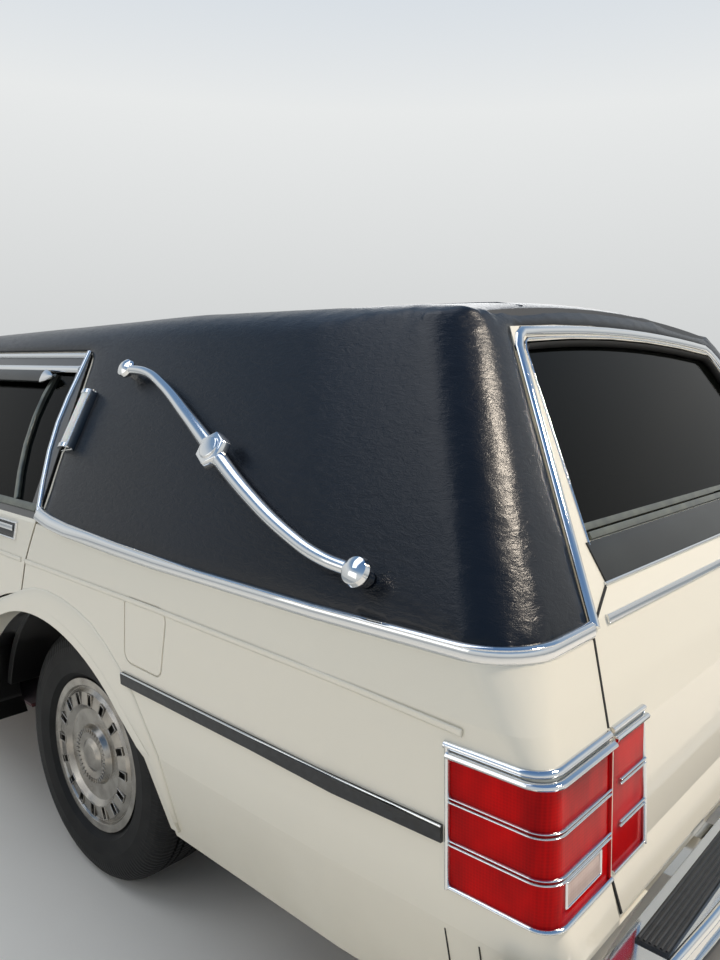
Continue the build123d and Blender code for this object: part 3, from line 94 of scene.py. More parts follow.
def linear(colour):
    """An sRGB hex colour as linear red, green, blue and alpha."""
    channels = [int(colour[i:i + 2], 16) / 255.0 for i in (1, 3, 5)]
    light = [c / 12.92 if c <= 0.04045 else ((c + 0.055) / 1.055) ** 2.4 for c in channels]
    return (*light, 1.0)


def add(tree, kind, inputs=None, **settings):
    """Adds a shader node with its settings, its values and its links."""
    made = tree.nodes.new(kind)
    for name, value in settings.items():
        setattr(made, name, value)
    for socket, value in (inputs or {}).items():
        if isinstance(value, bpy.types.NodeSocket):
            tree.links.new(value, made.inputs[socket])
        else:
            made.inputs[socket].default_value = value
    return made


def spaced(values):
    """Socket names as Blender writes them, from keywords with an underscore for each space."""
    return {key.replace("_", " "): value for key, value in values.items()}


def finish(name, slot, **values):
    """A material with one principled shader. Returns the material, its tree and its shader."""
    made = bpy.data.materials.new(name)
    made.use_nodes = True
    shader = made.node_tree.nodes["Principled BSDF"]
    for socket, value in spaced(values).items():
        shader.inputs[socket].default_value = value
    return made, made.node_tree, shader


def wire(tree, shader, **outputs):
    """Links nodes' outputs to the shader's sockets."""
    for socket, output in spaced(outputs).items():
        tree.links.new(output, shader.inputs[socket])


def object_point(tree, stretch=(1.0, 1.0, 1.0), place=(0.0, 0.0, 0.0)):
    """The point on the surface in metres, stretched and moved as a mapping does."""
    point = add(tree, "ShaderNodeTexCoord").outputs["Object"]
    inputs = {"Vector": point, "Scale": stretch, "Location": place}
    return add(tree, "ShaderNodeMapping", inputs).outputs["Vector"]


def ramp(tree, factor, stops):
    """A colour ramp over (position, colour) stops."""
    made = add(tree, "ShaderNodeValToRGB", {"Fac": factor})
    elements = made.color_ramp.elements
    while len(elements) < len(stops):
        elements.new(0.5)
    for element, (position, colour) in zip(elements, stops):
        element.position = position
        element.color = linear(colour)
    return made.outputs["Color"]


def mix(tree, factor, under, over):
    """A colour laid over another by a factor."""
    made = add(tree, "ShaderNodeMix", {"Factor": factor, "A": under, "B": over}, data_type="RGBA")
    return made.outputs["Result"]


def calc(tree, operation, *values, **settings):
    """One step of arithmetic."""
    return add(tree, "ShaderNodeMath", dict(enumerate(values)), operation=operation, **settings).outputs["Value"]


def noise(tree, point, scale, detail, **values):
    """Clouds from 0 to 1, smaller with a larger scale."""
    inputs = {"Vector": point, "Scale": scale, "Detail": detail, **spaced(values)}
    return add(tree, "ShaderNodeTexNoise", inputs).outputs["Fac"]


def remap(tree, value, **limits):
    """A value stretched from one span to another."""
    return add(tree, "ShaderNodeMapRange", {"Value": value, **spaced(limits)}).outputs["Result"]


def bump(tree, height, strength, depth, **values):
    """The direction a surface faces when a height in metres is pressed into it."""
    inputs = {"Height": height, "Strength": strength, "Distance": depth, **values}
    return add(tree, "ShaderNodeBump", inputs).outputs["Normal"]


def round_edge(tree, radius, **values):
    """The direction a surface faces when its sharp edges are rounded for the light."""
    return add(tree, "ShaderNodeBevel", {"Radius": radius, **values}, samples=6).outputs["Normal"]


def coat(material, *names):
    """Gives CAD solids a finish."""
    for name in names:
        mesh = nodes[name].data
        mesh.materials.clear()
        mesh.materials.append(material)


# %% [markdown]
# The body is painted in ivory enamel under a clear coat. The eye reads such paint from three
# things: a warm colour, a sharp reflection from the clear coat, and a faint waviness left by the
# spray gun. Road film gathers low on the body, so the colour is a little greyer there. Two places
# are black, and a test of the place finds each: the doors' window frames, and the wheel wells,
# which are sprayed with underseal.

# %% Ivory body paint
ORANGE_PEEL = 0.004               # one ripple of sprayed enamel
FILM_TOP = 0.62                   # road film fades out at this height
FILM_FOOT = 0.25
FRAME_FOOT = 0.976                # the doors turn black above this height
WHEEL_CENTRES = {"front": (-1.65, 0.335), "rear": (1.253, 0.335)}
WELL_SPAN = 0.60                  # reach of the underseal round a wheel's centre
WELL_SIDE = 0.940                 # it stays this far inside, short of the outer skin
WELL_TOP = 0.80                   # and below this height


def about_axle(tree, end):
    """The point across a wheel's plane, measured from its axle, and its distance from the axle."""
    y, z = WHEEL_CENTRES[end]
    flat = object_point(tree, (0.0, 1.0, 1.0), (0.0, -y, -z))
    return flat, add(tree, "ShaderNodeVectorMath", {0: flat}, operation="LENGTH").outputs["Value"]


def window_frame(tree, axes):
    """Whether a place is above the belt, on a door's window frame."""
    return calc(tree, "GREATER_THAN", axes["Z"], FRAME_FOOT)


def wheel_well(tree, axes):
    """Whether a place is inside a wheel well."""
    span = calc(tree, "MINIMUM", *(about_axle(tree, end)[1] for end in WHEEL_CENTRES))
    limits = ((span, WELL_SPAN), (calc(tree, "ABSOLUTE", axes["X"]), WELL_SIDE), (axes["Z"], WELL_TOP))
    near, inner, low = [calc(tree, "LESS_THAN", value, limit) for value, limit in limits]
    return calc(tree, "MULTIPLY", calc(tree, "MULTIPLY", near, inner), low)


def ivory_enamel(name, blackened, black):
    """Sprayed ivory enamel with a clear coat and road film, and black where the test says so."""
    made, tree, shader = finish(name, "ivory_paint", Roughness=0.34, Coat_Weight=0.7, Coat_Roughness=0.05)
    point = object_point(tree)
    axes = add(tree, "ShaderNodeSeparateXYZ", {"Vector": point}).outputs
    low = remap(tree, axes["Z"], From_Min=FILM_TOP, From_Max=FILM_FOOT)
    film = calc(tree, "MULTIPLY", low, noise(tree, point, 3.0, 4.0))
    ivory = ramp(tree, film, [(0.0, "#F1ECDD"), (0.7, "#C4BDA8")])
    peel = bump(tree, noise(tree, point, 1.0 / ORANGE_PEEL, 2.0), 0.012, 0.002)
    wire(tree, shader, Base_Color=mix(tree, blackened(tree, axes), ivory, linear(black)),
         Normal=round_edge(tree, 0.004, Normal=peel))
    return made


paint = ivory_enamel("ivory_enamel", wheel_well, "#0B0B0B")
door_paint = ivory_enamel("ivory_enamel_with_black_frames", window_frame, "#0C0F13")
coat(paint, "hood", "front_fenders", "nose_panel", "quarter_panels", "side_frames", "tailgate", "rear_sill", "cowl")
coat(door_paint, "front_door_left", "front_door_right", "rear_door_left", "rear_door_right")

# %% [markdown]
# Bright work is steel or zinc with a chrome plate. Chrome has almost no colour of its own: what it
# shows is the room, so its look comes from the shape, from the studio's light and dark, and from a
# very slight haze where it was wiped. The wheel covers are polished stainless steel, spun on a
# lathe, so fine rings run round them and blur the light across the rings.

# %% Chrome and spun stainless steel
SPIN_RING = 0.0018                # pitch of the lathe rings, drawn coarse enough to show


def chrome_plate():
    """Polished chrome with a faint wiped haze."""
    made, tree, shader = finish("chrome_plate", "bright_chrome", Metallic=1.0, Base_Color=linear("#DDDFE0"))
    haze = noise(tree, object_point(tree), 14.0, 5.0)
    wire(tree, shader, Roughness=remap(tree, haze, To_Min=0.04, To_Max=0.11), Normal=round_edge(tree, 0.002))
    return made


def spun_stainless(end):
    """Stainless steel turned on a lathe, about one axle."""
    made, tree, shader = finish("spun_stainless_" + end, "bright_chrome", Metallic=1.0, Roughness=0.22)
    rings = calc(tree, "SINE", calc(tree, "MULTIPLY", about_axle(tree, end)[1], 2.0 * math.pi / SPIN_RING))
    dust = noise(tree, object_point(tree), 22.0, 5.0)
    wire(tree, shader, Base_Color=ramp(tree, dust, [(0.35, "#918D87"), (0.65, "#B0ACA5")]),
         Normal=round_edge(tree, 0.003, Normal=bump(tree, rings, 0.12, 0.0004)))
    return made


chrome = chrome_plate()
wheel_steel = {end: spun_stainless(end) for end in WHEEL_CENTRES}
coat(chrome, "grille", "front_bumper", "rear_bumper")
for end, steel in wheel_steel.items():
    coat(steel, f"wheel_{end}_left", f"wheel_{end}_right")

# %% [markdown]
# The roof covering is vinyl over a thin foam pad, stretched tight. It is a blue-black plastic with
# a pressed leather grain, so light breaks up into fine streaks wherever it grazes the surface: a
# small cell pattern gives the grain, and a longer noise gives the streaks and stretch wrinkles.

# %% Padded vinyl
GRAIN = 0.004                     # one cell of the pressed grain, drawn coarse enough to show
STREAK = 0.012                    # width of a stretch wrinkle


def leather_grained_vinyl():
    """Blue-black vinyl with a pressed leather grain and faint stretch wrinkles."""
    made, tree, shader = finish("leather_grained_vinyl", "blue_black_vinyl", Specular_IOR_Level=0.12,
                                Coat_Weight=0.4, Coat_Roughness=0.2)
    point = object_point(tree)
    cells = add(tree, "ShaderNodeTexVoronoi", {"Vector": point, "Scale": 1.0 / GRAIN}, feature="DISTANCE_TO_EDGE")
    streaks = noise(tree, object_point(tree, (1.0, 0.8, 2.2)), 0.5 / STREAK, 7.0, Roughness=0.62, Distortion=1.4)
    tone = ramp(tree, noise(tree, point, 2.2, 3.0), [(0.3, "#060C15"), (0.7, "#0A121D")])
    wrinkle = bump(tree, streaks, 0.3, 0.003, Normal=bump(tree, cells.outputs["Distance"], 0.3, 0.0006))
    wire(tree, shader, Base_Color=tone, Roughness=remap(tree, streaks, To_Min=0.28, To_Max=0.5), Normal=wrinkle,
         Coat_Normal=wrinkle)
    return made


vinyl = leather_grained_vinyl()

# %% [markdown]
# Tyres are carbon-black rubber out of a mould. The mould leaves fine ribs that run outwards over
# the shoulder, so the angle about the axle is cut into equal steps and used as a height.

# %% Tyre rubber
SHOULDER_RIBS = 150
SHOULDER_FOOT = 0.272             # radius where the ribs begin
SHOULDER_TOP = 0.322


def tyre_rubber(end):
    """Moulded rubber with ribs over the shoulder, about one axle."""
    made, tree, shader = finish("tyre_rubber_" + end, "black_tyre", Roughness=0.6, Specular_IOR_Level=0.25)
    flat, radius = about_axle(tree, end)
    axes = add(tree, "ShaderNodeSeparateXYZ", {"Vector": flat}).outputs
    angle = calc(tree, "ARCTAN2", axes["Y"], axes["Z"])
    wave = calc(tree, "SINE", calc(tree, "MULTIPLY", angle, float(SHOULDER_RIBS)))
    rise = remap(tree, radius, From_Min=SHOULDER_FOOT, From_Max=SHOULDER_TOP)
    dust = noise(tree, object_point(tree), 18.0, 6.0)
    wire(tree, shader, Base_Color=ramp(tree, dust, [(0.35, "#0F1011"), (0.7, "#1E1E1E")]),
         Normal=bump(tree, calc(tree, "MULTIPLY", wave, rise), 0.7, 0.0015))
    return made


for end in WHEEL_CENTRES:
    coat(tyre_rubber(end), f"tyre_{end}_left", f"tyre_{end}_right")

# %% [markdown]
# The other finishes are quicker: each wanders between two shades at the real size of its pattern,
# and a fine bump of the same pattern gives it its touch, whether moulded, cast, painted or woven.

# %% Other finishes


def mottled(name, slot, colours, roughness, grain, depth=0.0, **values):
    """A finish that wanders between two shades, with a bump of the same grain, in metres."""
    made, tree, shader = finish(name, slot, Roughness=roughness, **values)
    cloud = noise(tree, object_point(tree), 0.5 / grain, 5.0)
    wire(tree, shader, Base_Color=ramp(tree, cloud, list(zip((0.35, 0.65), colours))))
    if depth:
        wire(tree, shader, Normal=bump(tree, cloud, 0.6, depth))
    return made


rubber = mottled("black_moulding_rubber", "black_tyre", ("#15181B", "#22262A"), 0.36, 0.006, 0.0002)
seal = mottled("grey_window_seal", "bright_chrome", ("#5E625F", "#74786F"), 0.3, 0.02, 0.0, Metallic=0.7)
black_gloss = mottled("black_gloss_trim", "roof_steel", ("#0D1112", "#191E1E"), 0.2, 0.05, Specular_IOR_Level=0.4)
black_joints_and_painted_shade = mottled("black_joint_filler_and_painted_shade", "roof_steel", ("#050505", "#0A0A0A"), 0.7, 0.01)
chassis_black = mottled("satin_chassis_black", "black_frame", ("#0E0E0F", "#1C1B1A"), 0.5, 0.02, 0.0004)
bare_steel = mottled("galvanised_steel", "roller_steel", ("#8B8D8E", "#A9ABAC"), 0.38, 0.017, 0.0002, Metallic=1.0)
cast_iron = mottled("cast_iron", "cast_knuckle", ("#2B2A29", "#3A3836"), 0.6, 0.004, 0.0006, Metallic=0.6)
pile_carpet = mottled("burgundy_pile_carpet", "burgundy_carpet", ("#3A0A10", "#561419"), 0.95, 0.0015, 0.002,
                      Sheen_Weight=0.4)
seat_leather = mottled("grained_burgundy_hide", "burgundy_leather", ("#4A0E15", "#651A20"), 0.42, 0.002, 0.0006)
trim_plastic = mottled("burgundy_moulded_plastic", "dash_plastic", ("#3A0F14", "#43141A"), 0.5, 0.0013, 0.0003)
roof_steel = mottled("dark_roof_steel", "roof_steel", ("#101317", "#181B1F"), 0.5, 0.04)
coat(chassis_black, "chassis_frame", "rear_axle", "drive_shaft", "front_suspension", "fuel_tank")
coat(bare_steel, "deck_rollers", "exhaust")
coat(cast_iron, "knuckle_left", "knuckle_right", "engine_block")
coat(pile_carpet, "floor_pan", "load_deck")
coat(trim_plastic, "dashboard", "steering_wheel")
coat(roof_steel, "roof_frame")

# %% [markdown]
# Window glass is smoked safety glass. It lets a little light through, so the cabin behind stays
# dim, and its mirroring is kept weak, because outdoors it would mirror dark trees and here it would
# mirror a pale sky. Lamp lenses are moulded acrylic. The red ones look deep and even by daylight
# because hundreds of small prisms behind the smooth face send the light back.

# %% Glass and lamp lenses
PRISM = 0.005                     # pitch of the prisms behind a lens


def clear_body(name, slot, colour, **values):
    """Glass or a clear plastic of one colour, with the faint waves of a rolled or moulded face."""
    made, tree, shader = finish(name, slot, Base_Color=linear(colour), **values)
    waves = noise(tree, object_point(tree), 4.0, 2.0)
    wire(tree, shader, Normal=bump(tree, waves, 0.05, 0.004))
    return made


def prism_lens(name, slot, dark, bright, **values):
    """A lamp lens whose colour deepens in patches, with a painted glint over a grid of prisms."""
    made, tree, shader = finish(name, slot, Roughness=0.12, Specular_IOR_Level=0.08, **values)
    patch = noise(tree, object_point(tree, (1.0, 1.0, 0.35)), 16.0, 3.0)
    # Painted glint: each prism's cell is painted lighter towards its edge, standing for the light the prisms send
    # back.
    cells = {"Vector": object_point(tree), "Scale": 1.0 / PRISM, "Randomness": 0.0}
    prism_glint = add(tree, "ShaderNodeTexVoronoi", cells, feature="F1").outputs["Distance"]
    depth = calc(tree, "MULTIPLY_ADD", prism_glint, 0.25, patch)
    wire(tree, shader, Base_Color=ramp(tree, depth, [(0.4, dark), (0.85, bright)]))
    return made


window_glass = clear_body("smoked_safety_glass", "window_glass", "#171C17", Roughness=0.0, Transmission_Weight=0.9,
                          Specular_IOR_Level=0.1, IOR=1.12)
clear_lens = clear_body("clear_lamp_glass", "clear_lamp", "#E8ECEC", Roughness=0.08, Transmission_Weight=1.0,
                        IOR=1.5)
opal_lens = prism_lens("opal_lamp_glass", "white_lamp", "#E9E8E4", "#F6F5F1", Subsurface_Weight=0.2)
red_lens = prism_lens("red_acrylic_lens", "red_lamp", "#8E0007", "#DA0306")
pale_lens = prism_lens("backup_lamp_lens", "white_lamp", "#B49A94", "#D6C6BF")
amber_lens = prism_lens("amber_marker_lens", "red_lamp", "#B35408", "#D8760F")
coat(window_glass, "windshield", "tailgate_glass", "front_door_glass_left", "front_door_glass_right",
     "rear_door_glass_left", "rear_door_glass_right")
coat(clear_lens, "headlamps")
coat(red_lens, "tail_lamps", "tailgate_lamps")

# %% [markdown]
# Most of the bright work on a car is a strip that follows the body. So two helpers come first: one
# gives the body's surface at any distance and height, with the direction that faces out of it, and
# the other sweeps an oval or square section along a row of such places. The section is a circle
# from bmesh, squashed and turned to each place, and bridge_loops skins one ring to the next. The
# numbers repeat the CAD body's own lines in metres.

# %% The body's surface and the sweep
BELT_Z = 0.968
BELT_HALF = 0.997
LEAN = 0.622                      # the side above the belt leans in by this for each metre of height
SIDE_LINES = ((0.290, 0.927), (0.547, 0.991), (0.869, 1.007), (BELT_Z, BELT_HALF))
TAPER_REAR_Y = 2.2                # behind this the sides draw in
TAIL_IN = 0.014
TAPER_FRONT_Y = -2.05
TAPER_FRONT = 0.0686
REAR_FACE = ((0.290, 2.540, 0.060), (0.547, 2.650, 0.060), (0.556, 2.650, 0.056), (0.612, 2.629, 0.034),
             (0.812, 2.620, 0.034), (BELT_Z, 2.560, 0.105))
TAIL_SLOPE = -0.647
GATE_INSET = 0.003
CORNER_STEPS = 10
SHARP = math.radians(38)          # edges flatter than this are shaded smooth
UP = Vector((0.0, 0.0, 1.0))
AHEAD = Vector((0.0, -1.0, 0.0))
BACK = Vector((0.0, 1.0, 0.0))
OUT = Vector((1.0, 0.0, 0.0))
TAIL_OUT = Vector((0.0, 1.0, 0.1)).normalized()


def between(stations, z):
    """The values of a row of stations at a height."""
    z = min(max(z, stations[0][0]), stations[-1][0])
    for low, high in zip(stations, stations[1:]):
        if z <= high[0]:
            share = (z - low[0]) / (high[0] - low[0])
            return [a + (b - a) * share for a, b in zip(low[1:], high[1:])]


def skin(y, z, out=0.0):
    """A place on the left side and the direction that faces out of it."""
    if z > BELT_Z:
        half = BELT_HALF - LEAN * (z - BELT_Z)
        outward = Vector((1.0, 0.0, LEAN)).normalized()
    else:
        half = between(SIDE_LINES, z)[0]
        rise = between(SIDE_LINES, z + 0.01)[0] - between(SIDE_LINES, z - 0.01)[0]
        outward = Vector((0.02, 0.0, -rise)).normalized()
    if y > TAPER_REAR_Y:
        half -= TAIL_IN * (y - TAPER_REAR_Y) / (REAR_FACE[3][1] - TAPER_REAR_Y)
    if y < TAPER_FRONT_Y:
        half = min(half, BELT_HALF + 0.011 - TAPER_FRONT * (TAPER_FRONT_Y - y))
    return Vector((half, y, z)) + outward * out, outward


def round_corner(z, out, start_y, end_x, half=None):
    """Places along the left side, round the rear corner and across the rear face."""
    face_y, radius = between(REAR_FACE, z)
    half = between(SIDE_LINES, z)[0] if half is None else half
    end = half - TAIL_IN
    face_y += out
    radius += out
    end += out
    front_x = end + TAIL_IN * max(0.0, face_y - radius - start_y) / (face_y - radius - TAPER_REAR_Y)
    path = [(Vector((min(front_x, half + out), start_y, z)), OUT)]
    if start_y < TAPER_REAR_Y:
        path.append((Vector((half + out, TAPER_REAR_Y, z)), OUT))
    for step in range(CORNER_STEPS + 1):
        angle = math.pi / 2 * step / CORNER_STEPS
        outward = Vector((math.cos(angle), math.sin(angle), 0.0))
        path.append((Vector((end - radius, face_y - radius, z)) + outward * radius, outward))
    path.append((Vector((end_x, face_y, z)), BACK))
    return path


def gate_place(x, z, out=0.0):
    """A place on the rear gate and the direction that faces out of it."""
    if z > BELT_Z:
        outward = Vector((0.0, 1.0, -TAIL_SLOPE)).normalized()
        y = REAR_FACE[-1][1] + TAIL_SLOPE * (z - BELT_Z) - GATE_INSET
    else:
        y = between(REAR_FACE, z)[0] - GATE_INSET
        rise = between(REAR_FACE, z + 0.01)[0] - between(REAR_FACE, z - 0.01)[0]
        outward = Vector((0.0, 0.02, -rise)).normalized()
    return Vector((x, y, z)) + outward * out, outward


def sweep(shape, path, width, height, sides=10, square=False, closed=False, bevel=0.0012):
    """Sweeps an oval or a square section along (place, outward) pairs; width may be one per place."""
    count = len(path)
    widths = list(width) if isinstance(width, (list, tuple)) else [width] * count
    grow = math.sqrt(2.0) if square else 1.0
    loops = []
    for index, (place, outward) in enumerate(path):
        inner = closed or 0 < index < count - 1
        before = path[index - 1][0] if index or closed else place
        after = path[(index + 1) % count][0] if inner or index == 0 else place
        if inner:
            arriving = (place - before).normalized()
            ahead = (arriving + (after - place).normalized()).normalized()
            mitre = 1.0 / max(0.4, arriving.dot(ahead))
        else:
            ahead = (after - before).normalized()
            mitre = 1.0
        across = outward.cross(ahead).normalized()
        up = ahead.cross(across)
        columns = (across * widths[index] * mitre * grow / 2, up * height * grow / 2, ahead)
        turned = Matrix(columns).transposed().to_4x4()
        turned.translation = place
        if square:
            turned = turned @ Matrix.Rotation(math.pi / 4, 4, "Z")
        ring = bmesh.ops.create_circle(shape, cap_ends=not inner, segments=4 if square else sides, radius=1.0,
                                       matrix=turned)
        loops.append(list({edge for vert in ring["verts"] for edge in vert.link_edges}))
    if closed:
        loops.append(loops[0])
    made = []
    for near, far in zip(loops, loops[1:]):
        made += bmesh.ops.bridge_loops(shape, edges=near + far)["edges"]
    if square and bevel:
        bmesh.ops.bevel(shape, geom=list(set(made)), offset=bevel, affect="EDGES", segments=2, profile=0.5,
                        material=-1, clamp_overlap=True)


# %% [markdown]
# A builder is a function that draws into an empty bmesh, and most builders are a row of sweeps.
# What it has drawn becomes a piece on the body that carries it, as it is, mirrored over the car's
# middle, or once for each side.

# %% From a builder to a piece


def settle(name, shape, material, body, replaced=()):
    """Turns a finished bmesh into a piece on a body."""
    bmesh.ops.recalc_face_normals(shape, faces=shape.faces)
    mesh = bpy.data.meshes.new(name)
    shape.to_mesh(mesh)
    shape.free()
    mesh.materials.append(material)
    mesh.polygons.foreach_set("use_smooth", [True] * len(mesh.polygons))
    mesh.set_sharp_from_angle(angle=SHARP)
    piece = bpy.data.objects.new(name, mesh)
    scene.collection.objects.link(piece)
    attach(piece, body)
    if replaced:
        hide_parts(*replaced)
    return piece


def alone(name, build, material, body="coach_body", replaced=()):
    """A piece as its builder draws it."""
    shape = bmesh.new()
    build(shape)
    return settle(name, shape, material, body, replaced)


def one_body(name, build, material, body="coach_body", replaced=()):
    """A piece that spans both sides of the car on one body, drawn as its left half."""
    def whole(shape):
        build(shape)
        everything = shape.verts[:] + shape.edges[:] + shape.faces[:]
        bmesh.ops.mirror(shape, geom=everything, matrix=Matrix.Identity(4), merge_dist=0.0, axis="X")
    return alone(name, whole, material, body, replaced)


def both_sides(name, build, material, body):
    """The same piece on the left and the right, each on the body of its own side."""
    for side, sign in (("left", 1.0), ("right", -1.0)):
        def sided(shape):
            build(shape)
            bmesh.ops.scale(shape, vec=(sign, 1.0, 1.0), verts=shape.verts)
        alone(f"{name}_{side}", sided, material, body.format(side))


def run(*values, **settings):
    """What one sweep is given: its path, width and height, and any settings."""
    return values, settings


def swept(*runs):
    """A builder that draws one sweep after the other."""
    def build(shape):
        for values, settings in runs:
            sweep(shape, *values, **settings)
    return build


# %% [markdown]
# Most paths are rows of places that share something: a side, a height or a direction. These
# helpers draw them up, and two more make the short cones of knobs, plates, locks and hubs.

# %% Paths and stubs
PROUD = 0.001                     # a strip's middle stands this far out of the body


def spread(start, end, count):
    """Evenly spaced values from start to end."""
    return [start + (end - start) * step / count for step in range(count + 1)]


def along(points, out=0.0):
    """A path over (y, z) places on the left side."""
    return [skin(y, z, out) for y, z in points]


def level(z, places, out=0.0):
    """A path at one height on the left side."""
    return [skin(y, z, out) for y in places]


def on_gate(points, out=0.0):
    """A path over (x, z) places on the rear gate."""
    return [gate_place(x, z, out) for x, z in points]


def facing(outward, points):
    """A path over places that all face one way."""
    return [(Vector(point), outward) for point in points]


def turned_to(place, outward):
    """A frame at a place, with its Z facing out."""
    turned = outward.to_track_quat("Z", "Y").to_matrix().to_4x4()
    turned.translation = place
    return turned


def stub(shape, turned, sides, foot, head, depth, bevel=0.002, segments=2):
    """A short cone with rounded edges; foot and head are its radii."""
    made = bmesh.ops.create_cone(shape, cap_ends=True, segments=sides, radius1=foot, radius2=head, depth=depth,
                                 matrix=turned)
    edges = list({edge for vert in made["verts"] for edge in vert.link_edges})
    bmesh.ops.bevel(shape, geom=edges, offset=bevel, affect="EDGES", segments=segments, profile=0.5, material=-1)


# %% [markdown]
# The padded roof covering replaces its thin solid. A copy of that solid's outer face has exactly
# the right edges at the doors, the belt and the gate, so the covering starts from it: the wall and
# inner faces are dropped, the flat facets are merged, and cuts every few centimetres give it
# enough points to bend. Smoothing then rounds the eaves and rear corners the way stretched vinyl
# does over foam, and the edge is tucked in before the sheet gets its thickness.

# %% Padded roof covering
OUTER = 0.35                      # an outer face looks away from the middle by more than this
CUT = 0.045                       # spacing of the cuts
CUT_ROWS = ((1, -0.58, 2.56), (0, -0.99, 0.99), (2, 0.99, 1.42))     # axis, start and end of each row
MERGE = 0.004                     # points nearer than this become one
SMOOTHINGS = 5
TUCK = 0.004                      # the edge turns in this far under its trim
PAD = 0.007


def outward_from_middle(face):
    """How far a face looks away from the middle line of the cabin."""
    centre = face.calc_center_median()
    middle = Vector((0.0, min(max(centre.y, -0.9), 2.0), 0.9))
    return face.normal.dot((centre - middle).normalized())


def cut_across(shape, axis, start, end):
    """Cuts the sheet by a row of planes across one axis."""
    direction = Vector((0.0, 0.0, 0.0))
    direction[axis] = 1.0
    for index in range(int((end - start) / CUT) + 1):
        geometry = shape.verts[:] + shape.edges[:] + shape.faces[:]
        bmesh.ops.bisect_plane(shape, geom=geometry, dist=1e-5, plane_co=direction * (start + CUT * index),
                               plane_no=direction)


def roof_sheet():
    """The outer face of the covering, cut finely and softened."""
    shape = bmesh.new()
    shape.from_mesh(nodes["roof_covering"].data)
    bmesh.ops.remove_doubles(shape, verts=shape.verts, dist=2e-5)
    inner = [face for face in shape.faces if outward_from_middle(face) < OUTER]
    bmesh.ops.delete(shape, geom=inner, context="FACES")
    bmesh.ops.dissolve_limit(shape, angle_limit=math.radians(0.6), verts=shape.verts, edges=shape.edges)
    for axis, start, end in CUT_ROWS:
        cut_across(shape, axis, start, end)
    bmesh.ops.remove_doubles(shape, verts=shape.verts, dist=MERGE)
    bmesh.ops.triangulate(shape, faces=[face for face in shape.faces if len(face.verts) > 4])
    bmesh.ops.join_triangles(shape, faces=shape.faces, angle_face_threshold=0.7, angle_shape_threshold=0.9)
    rim = {vert for edge in shape.edges if edge.is_boundary for vert in edge.verts}
    inside = [vert for vert in shape.verts if vert not in rim]
    for _ in range(SMOOTHINGS):
        bmesh.ops.smooth_vert(shape, verts=inside, factor=0.5, use_axis_x=True, use_axis_y=True, use_axis_z=True)
    shape.normal_update()
    for vert in rim:
        vert.co -= vert.normal * TUCK
    return shape


def padded_cover():
    """The covering as a piece, with a thickness and one level of subdivision."""
    shape = roof_sheet()
    print("roof covering faces", len(shape.faces))
    mesh = bpy.data.meshes.new("padded_vinyl_roof")
    shape.to_mesh(mesh)
    shape.free()
    mesh.materials.append(vinyl)
    mesh.polygons.foreach_set("use_smooth", [True] * len(mesh.polygons))
    piece = bpy.data.objects.new("padded_vinyl_roof", mesh)
    scene.collection.objects.link(piece)
    soften = piece.modifiers.new("soften", "SUBSURF")
    soften.levels = soften.render_levels = 1
    wall = piece.modifiers.new("wall", "SOLIDIFY")
    wall.thickness = PAD
    wall.offset = -1.0
    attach(piece, "coach_body")
    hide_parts("roof_covering")
    return piece


roof_cover = padded_cover()

# %% [markdown]
# A landau bar is a cast S, plated, that once braced a folding top. It swells towards the middle,
# where a plain six-sided plate covers the joint, and ends in two domed knobs. A curve with a round
# bevel draws the S, and a radius at each of its points gives the swelling.

# %% Landau bars
LANDAU_PLACES = ((1.350, 1.323), (1.442, 1.316), (1.532, 1.288), (1.679, 1.226), (1.806, 1.170), (1.973, 1.099),
                 (2.113, 1.051), (2.197, 1.031), (2.281, 1.022))
LANDAU_SWELL = (0.8, 0.78, 0.85, 1.0, 1.2, 1.0, 0.88, 0.85, 0.85)
LANDAU_OUT = 0.028
LANDAU_RADIUS = 0.0145
KNOB = ((0.0, 0.046), (0.010, 0.045), (0.019, 0.039), (0.0215, 0.030), (0.018, 0.022), (0.011, 0.016), (0.012, 0.0))
KNOB_SIZES = (1.14, 1.18)         # at the upper and the lower end
PLATE_PLACE = (1.821, 1.165)
PLATE_LAYERS = ((0.042, 0.026, 0.046, 6), (0.02604, 0.04, 0.050, 24))    # radius, low, high and sides
PLATE_TAPER = 0.86


def knob(shape, y, z, size):
    """A domed knob on its post, as a section turned about the direction out of the roof's side."""
    foot, outward = skin(y, z)
    turned = turned_to(foot, outward)
    verts = [shape.verts.new(turned @ Vector((radius * size, 0.0, height))) for radius, height in KNOB]
    edges = [shape.edges.new(pair) for pair in zip(verts, verts[1:])]
    bmesh.ops.spin(shape, geom=verts + edges, cent=foot, axis=outward, dvec=(0, 0, 0), angle=2 * math.pi, steps=28,
                   use_merge=True, use_duplicate=False)
    bmesh.ops.remove_doubles(shape, verts=shape.verts, dist=1e-5)


